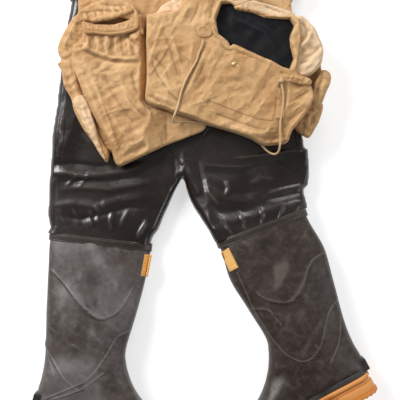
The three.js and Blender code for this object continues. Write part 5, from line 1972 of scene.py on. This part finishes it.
@dataclass
class Chest:
    """The chest piece: its body with the open mouth, lining, hems, pocket, tapes and drawcord."""

    wardrobe: Wardrobe
    cloth_level: float = 110.4
    cord_groove: float = 110.8
    snap_centre: Point = (117.0, 252.0)
    cord_diameter: float = 4.5
    knot_radius: float = 5.4
    mouth: Path = (
        ((87.8, 387.9), (103.5, 389.2), (117.9, 384.8), (119.2, 376.2), (137.2, 372.4), (155.2, 369), (184.1, 357.8),
            (211.5, 355.5), (238.5, 354.8), (248.6, 339.1), (240.8, 318.8), (239.6, 295.9), (247.5, 267.3),
            (238.5, 243), (224.1, 247.5), (201.1, 260.1), (159.8, 279), (117.9, 297.9), (108, 294.8), (102.2, 304.7),
            (80.8, 321.8), (77.8, 336.2), (74.9, 353.2), (81, 370.6))
    )

    cord_run: Path = ((47.9, 305.1), (38.2, 270), (20.2, 229.5), (0, 184.5), (-9, 153), (-20.2, 130.5))

    def body_top(self) -> Field:
        """The top of the chest piece, held down under the drawcord."""
        return Pressed(self.cloth_top(), self.cord_run, self.cord_groove)

    def cloth_top(self) -> Surface:
        """The top of the chest piece.

        Returns:
            The surface.
        """
        return Surface(self.cloth_level, (Basin(self.mouth, 30, 6), *CHEST_FOLDS))

    def build(self) -> None:
        """Makes every piece of the chest."""
        self.cloth()
        self.hems()
        self.pocket()
        self.cord()

    def cloth(self) -> None:
        """The back cloth, the body and the lining in its mouth."""
        lining = Layer(
            "mouth_lining", self.mouth, 82, 90.5,
            (
                Fold(((105.8, 362.2), (144, 344.2), (184.5, 324), (207, 283.5)), 6, 3.4),
                Fold(((94.5, 342), (130.5, 319.5), (180, 292.5)), 5, -1.6),
                Fold(((144, 360), (184.5, 337.5), (220.5, 315)), 7, 2.4),
                Crumple(44, 2.4, 54), Waves(40, 0.8, 55),
            ),
            ("chest_lining",), Slot.LINING, rim=4, drop=1, lift=0,
        )
        lining.outline = scaled(self.mouth, 1.035)
        layers = [
            Layer(
                "chest_back_cloth", ((-72, 355.5), (-13.5, 387), (63, 400.5), (175.5, 396), (243, 382.5),
                    (256.5, 270), (265.5, 216), (256.5, 171), (234, 117), (180, 90), (130.5, 103.5), (72, 126),
                    (18, 153), (-40.5, 166.5), (-76.5, 184.5)),
                66.4, 72, (Crumple(40, 1.5, 56),), ("back_cloth",), rim=6, drop=4, voxel=4,
            ),
            Layer(
                "chest_body", CHEST_OUTLINE,
                68, 0, (self.body_top(),), ("chest_piece",), rim=6, drop=30, lift=6, voxel=2.4,
            ),
            lining,
        ]
        for layer in layers:
            layer.build(self.wardrobe, "chest")

    def hems(self) -> None:
        """The hem round the back of the mouth, the flap over it, the shoulder and the rolled edges."""
        layers = [
            Layer(
                "mouth_flap", ((90, 406.1), (130.5, 411.8), (175.5, 409.5), (184.5, 402.8), (175.5, 394.9),
                    (155.2, 391.5), (132.8, 384.8), (117.9, 382.5), (110.2, 388.1), (94.5, 393.8)), 84, 98,
                (Crumple(24, 2.4, 61), Crumple(14, 0.8, 91),
                    Fold(((99, 400.5), (139.5, 402.8), (175.5, 402.8)), 3, 2.4)), (), pale=True, rim=4.5, drop=8,
                    voxel=2.4,
            ),
            Layer(
                "mouth_back_hem", ((114.8, 381.4), (135, 391.5), (155.2, 396.9), (182.2, 390.2), (213.8, 380.2),
                    (247.5, 367.9), (249.8, 353.2), (229.5, 354.2), (202.5, 356.4), (182.2, 363.2), (153, 372.2),
                    (126, 375.3)), 82, 97,
                (Crumple(22, 1.8, 62), Crumple(14, 0.8, 92),
                    Fold(((180, 383.6), (198, 377.1), (218.2, 367.9)), 2.2, -4.5),
                    Fold(((130.5, 387), (155.2, 391.5), (184.5, 385.7), (243, 365.6)), 2.2, 2.6)),
                ("back_hem",), pale=True, rim=6, drop=7, voxel=2.2,
            ),
            Layer(
                "shoulder_puff",
                ((245.2, 357.8), (261, 363.6), (272.2, 357.8), (284.6, 346.5), (294.8, 335.2), (302.9, 318.4),
                    (314.1, 291.4), (311.4, 261), (300.6, 243.9), (284.9, 231.8), (265.5, 225), (245.2, 234),
                    (237.6, 245.2), (246.6, 267.3), (238.5, 295.9), (238.5, 319.5), (246.4, 339.1)),
                66.4, 101, (
                    Fold(((290.2, 337.5), (279, 310.5), (252, 279)), 4, 5),
                    Fold(((265.5, 355.5), (274.5, 328.5), (272.2, 301.5)), 3.4, -4.5),
                    Fold(((256.5, 355.5), (256.5, 324), (247.5, 297)), 3, 3.4),
                    Fold(((306, 292.5), (285.8, 274.5), (265.5, 265.5)), 3.6, -3.6),
                    Fold(((301.5, 274.5), (279, 256.5), (256.5, 247.5)), 4, 3.4),
                    Fold(((279, 351), (290.2, 328.5), (301.5, 301.5)), 3, 3),
                    Crumple(34, 3.8, 63), Waves(30, 1.4, 64),
                ), ("shoulder_fold",), pale=True, rim=6, drop=22,
            ),
            Layer(
                "front_mouth_hem", ((73.3, 337.5), (78.8, 320.4), (101.2, 302.4), (107.1, 292.9), (117.9, 296.1),
                    (159.8, 276.8), (201.1, 257.8), (224.1, 244.3), (243, 236.2), (238.5, 225), (220.5, 231.8),
                    (193.5, 244.3), (153, 264.2), (119.2, 280.3), (99, 283.5), (85.5, 300.2), (69.8, 315),
                    (65.2, 333)),
                98, 113.6, (Crumple(16, 1.2, 65), Fold(((112.5, 291.4), (157.5, 270.9), (198, 252), (229.5, 237.4)),
                    1.6, 1.6, False)), (), rim=5, drop=8, voxel=2.0,
            ),
            Layer(
                "knotted_cloth", ((209.2, 225), (218.2, 234), (234, 238.5), (256.5, 230.6), (281.2, 221.6),
                    (285.8, 211.5), (274.5, 204.8), (247.5, 210.2), (225, 211.5), (211.5, 213.8)), 94, 113,
                (Crumple(13, 2.6, 66), Fold(((216, 225), (247.5, 224.1), (279, 213.8)), 2.2, 3)), (), rim=4.5,
                drop=12, voxel=2.0,
            ),
        ]
        for layer in layers:
            layer.build(self.wardrobe, "chest")

    def pocket(self) -> None:
        """The front pocket with its stitching, the snap and the flat tape."""
        top = self.body_top()
        panel = ((117, 292.5), (157.5, 273.6), (198, 254.2), (220.5, 243.9), (216, 220.5), (209.2, 180),
            (202.5, 141.8), (198.9, 127.3), (168.8, 131.4), (135, 142.7), (105.8, 153.9), (60.8, 171.9),
            (51.3, 176.8), (69.8, 211.5), (90, 247.5))
        low = raised(top, -0.6)
        high = raised(top, 1.5, (Fold(((168.8, 204.8), (155.2, 180), (141.8, 153)), 4, 1.6),
            Fold(((130.5, 256.5), (112.5, 211.5), (85.5, 175.5)), 7, 1.0)))
        piece = SoftForm("pocket_panel", panel, low, high, rim=2, drop=1.2, lift=0, voxel=2.2, smooth=1, ragged=0.4,
            relief=(6, 1.0)).build()
        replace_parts(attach(self.wardrobe.dress(piece, Slot.CANVAS), "chest"), "front_pocket")
        tape = ((211.5, 200.2), (229.5, 192.2), (227.2, 162), (224.1, 132.8), (204.8, 131.8), (207, 166.5))
        over = raised(top, 2.4)
        piece = SoftForm("flat_tie", tape, low, over, rim=1.5, drop=1.0, lift=0, voxel=1.6, smooth=1,
            ragged=0.3).build()
        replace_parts(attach(self.wardrobe.dress(piece, Slot.CANVAS), "chest"), "tie_tape")
        tab = ((33.8, 330.8), (45, 336.2), (60.8, 333.9), (68.4, 326.2), (63, 314.1), (47.2, 310.5), (36, 315))
        over = raised(top, 3.4)
        piece = SoftForm("cord_tab", tab, low, over, rim=3, drop=2.0, lift=0, voxel=1.6, ragged=0.3).build()
        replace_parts(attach(self.wardrobe.dress(piece, Slot.CANVAS), "chest"), "casing_tab")
        lines = (
            ((113.8, 287.1), (69.8, 207), (55.3, 178.7)), ((119.2, 286.7), (74.2, 203.8), (59.8, 176)),
            ((58.5, 175), (105.8, 157), (135, 145.8), (168.8, 134.5), (197.1, 130.5)),
            ((121.5, 285.3), (157.5, 268.7), (198, 249.3), (218.2, 239.8)),
            ((49.5, 164.7), (105.8, 141.8), (135, 131.4), (168.8, 119.2), (212.6, 113.8)),
        )
        stitches = Stitching("pocket_stitches", [(line, high) for line in lines], 4.6, 3.2, 1.0).build()
        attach(self.wardrobe.dress(stitches, Slot.CORD), "chest")
        self.snap(high)

    def snap(self, surface: Field) -> None:
        """The domed snap cap with its rim.

        Args:
            surface: The pocket's top.
        """
        x, y = self.snap_centre
        z = float(surface(np.array([x]), np.array([y]))[0])
        bm = bmesh.new()
        bmesh.ops.create_circle(bm, segments=48, radius=7.4 * MM)
        profile = ((7.4, 0.0), (7.5, 0.9), (7.1, 1.5), (6.3, 1.7), (5.9, 1.3), (5.3, 1.2), (4.9, 2.4), (3.2, 3.0),
            (1.5, 3.2), (0.35, 3.25))
        edges = bm.edges[:]
        for radius, height in profile[1:]:
            grown = bmesh.ops.extrude_edge_only(bm, edges=edges)["geom"]
            edges = [g for g in grown if isinstance(g, bmesh.types.BMEdge)]
            for vert in {v for e in edges for v in e.verts}:
                flat = Vector((vert.co.x, vert.co.y, 0)).normalized() * radius * MM
                vert.co = (flat.x, flat.y, height * MM)
        close_ends(bm)
        bmesh.ops.recalc_face_normals(bm, faces=bm.faces)
        bmesh.ops.translate(bm, verts=bm.verts, vec=to_frame(x, y, z - 0.2))
        cap = link("snap_dome", bm)
        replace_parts(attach(self.wardrobe.dress(cap, Slot.BRASS), "chest"), "snap_cap")
        self.wardrobe.dress(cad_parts["snap_socket"], Slot.BRASS)

    def cord(self) -> None:
        """The drawcord, which leaves its casing, runs under the chest piece and ends in a knot."""
        over, under, middle = 114.65, 69.5, 92.075
        points = (
            (48, 305.2, over), (44, 290, over), (38, 276, over), (33, 260, over), (22, 240, over), (10, 218, over),
            (0, 192, over),
            (-6, 168, over), (-10, 154, over + 0.3), (-16, 139, over - 3), (-19, 130, middle + 5),
            (-15, 127, middle - 9), (4, 130, under),
            (30, 128, under), (62, 122, under), (100, 112, under), (140, 98, under), (170, 84, under + 1),
            (190, 64, middle - 14),
            (204, 56, middle + 4), (212, 61, over - 6), (215, 74, over + 0.5), (216, 90, over), (216, 124, over),
            (221, 152, over),
            (223, 180, over), (219, 208, over),
        )
        drawcord = Drawcord(points, self.cord_diameter)
        cord = drawcord.build()
        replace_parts(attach(self.wardrobe.dress(cord, Slot.CORD), "chest"), "drawcord")
        bm = bmesh.new()
        for turn, shift in ((0.4, (0, 0, 0)), (1.9, (1.2, 0.6, 1.5))):
            ball = bmesh.ops.create_uvsphere(bm, u_segments=32, v_segments=20, radius=self.knot_radius * MM)["verts"]
            bmesh.ops.scale(bm, vec=(1.15, 0.8, 0.75), verts=ball)
            bmesh.ops.rotate(bm, matrix=Matrix.Rotation(turn, 3, "Z"), verts=ball)
            bmesh.ops.translate(bm, verts=ball, vec=Vector(shift) * MM)
        bmesh.ops.translate(bm, verts=bm.verts, vec=to_frame(217.5, 216, 116.2))
        knot = link("drawcord_knot", bm)
        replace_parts(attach(self.wardrobe.dress(knot, Slot.CORD), "chest"), "cord_knot")
        drawcord.length()
        drawcord.line()
        LOG.info("drawcord, %.3f m long", drawcord.length())


@dataclass
class Drawcord:
    """A braided cord through points of the plan."""

    points: Sequence[tuple[float, float, float]]
    diameter: float
    steps: int = 8
    sides: int = 12

    def line(self) -> list[Vector]:
        """The cord's centreline in the frame, close enough together to measure.

        Returns:
            The points.
        """
        p = np.array([self.points[0], *self.points, self.points[-1]], float)
        made = []
        for i in range(1, len(p) - 2):
            made += [spline(*p[i - 1 : i + 3], k / self.steps) for k in range(self.steps)]
        made.append(p[-1])
        return [to_frame(*q) for q in made]

    def length(self) -> float:
        """The cord's length in metres."""
        line = self.line()
        return sum((b - a).length for a, b in zip(line, line[1:]))

    def build(self) -> Piece:
        """A tube of circles bridged along the line, with the braid's slight ribs.

        Returns:
            The piece.
        """
        line = self.line()
        bm = bmesh.new()
        rings = []
        for i, point in enumerate(line):
            way = (line[min(i + 1, len(line) - 1)] - line[max(i - 1, 0)]).normalized()
            turn = way.to_track_quat("Z", "Y").to_matrix().to_4x4()
            radius = self.diameter / 2 * MM * (1 + 0.05 * math.sin(2.4 * i))
            made = bmesh.ops.create_circle(bm, segments=self.sides, radius=radius,
                matrix=Matrix.Translation(point) @ turn)["verts"]
            rings.append(made)
        for a, b in zip(rings, rings[1:]):
            edges = [e for ring in (a,
                b) for e in {e for v in ring for e in v.link_edges if e.other_vert(v) in set(ring)}]
            bmesh.ops.bridge_loops(bm, edges=edges)
        close_ends(bm)
        bmesh.ops.recalc_face_normals(bm, faces=bm.faces)
        return link("braided_drawcord", bm)


def boots(wardrobe: Wardrobe) -> list[Boot]:
    """The two boots with the raised lines of their moulding.

    Args:
        wardrobe: The finishes.

    Returns:
        The boots.
    """
    left = (
        ((-292.5, -202.5), (-265.5, -229.5), (-229.5, -272.2), (-193.5, -303.8), (-171, -308.2), (-141.8, -292.5),
            (-123.8, -267.8), (-110.2, -240.8)), ((-317.2, -328.5), (-301.5, -375.8), (-281.2, -409.5),
            (-258.8, -438.8), (-227.2, -465.8)), ((-306, -360), (-297, -396), (-283.5, -432)),
        ((-311.2, -488.2), (-258.8, -465.8), (-220.5, -447.8), (-193.5, -427.5), (-168.8, -391.5), (-146.2, -353.2),
            (-130.5, -342), (-108, -335.2)), ((-285.8, -486), (-225, -463.5), (-173.2, -427.5)),
    )
    right = (
        ((166.5, -252), (189, -265.5), (220.5, -272.2), (245.2, -267.8), (267.8, -236.2), (279, -202.5),
            (292.5, -177.8), (315, -164.2), (321.8, -162)),
            ((153, -288), (189, -288), (207, -303.8), (220.5, -321.8)),
        ((123.8, -207), (139.5, -243), (157.5, -283.5), (180, -317.2), (200.2, -348.8), (231.8, -387),
            (274.5, -400.5), (306, -369), (317.2, -324), (328.5, -292.5), (346.5, -267.8)),
            ((353.2, -303.8), (353.2, -333), (346.5, -362.2), (328.5, -402.8)),
    )
    return [
        # The left boot takes the lighter rubber: bloom, with a painted sheen.
        Boot(LEFT, wardrobe, left, left[:1], ((-84.2, -167.6), (-67.9, -168.8), (-77.4, -218.2), (-92.7, -216)),
            wardrobe.bloomed_and_sheen),
        Boot(RIGHT, wardrobe, right, right[:1], ((86.8, -163.8), (104.4, -151.2), (126.4, -194.9), (107.1, -206.1))),
    ]


def main() -> None:
    """Builds the waders piece by piece."""
    logging.basicConfig(level=logging.INFO, format="%(message)s")
    Stage().build()
    wardrobe = Wardrobe()
    chest = Chest(wardrobe)
    chest.build()
    Upper(wardrobe).build()
    Trousers(wardrobe).build()
    for boot in boots(wardrobe):
        boot.build()


if __name__ == "__main__":
    main()
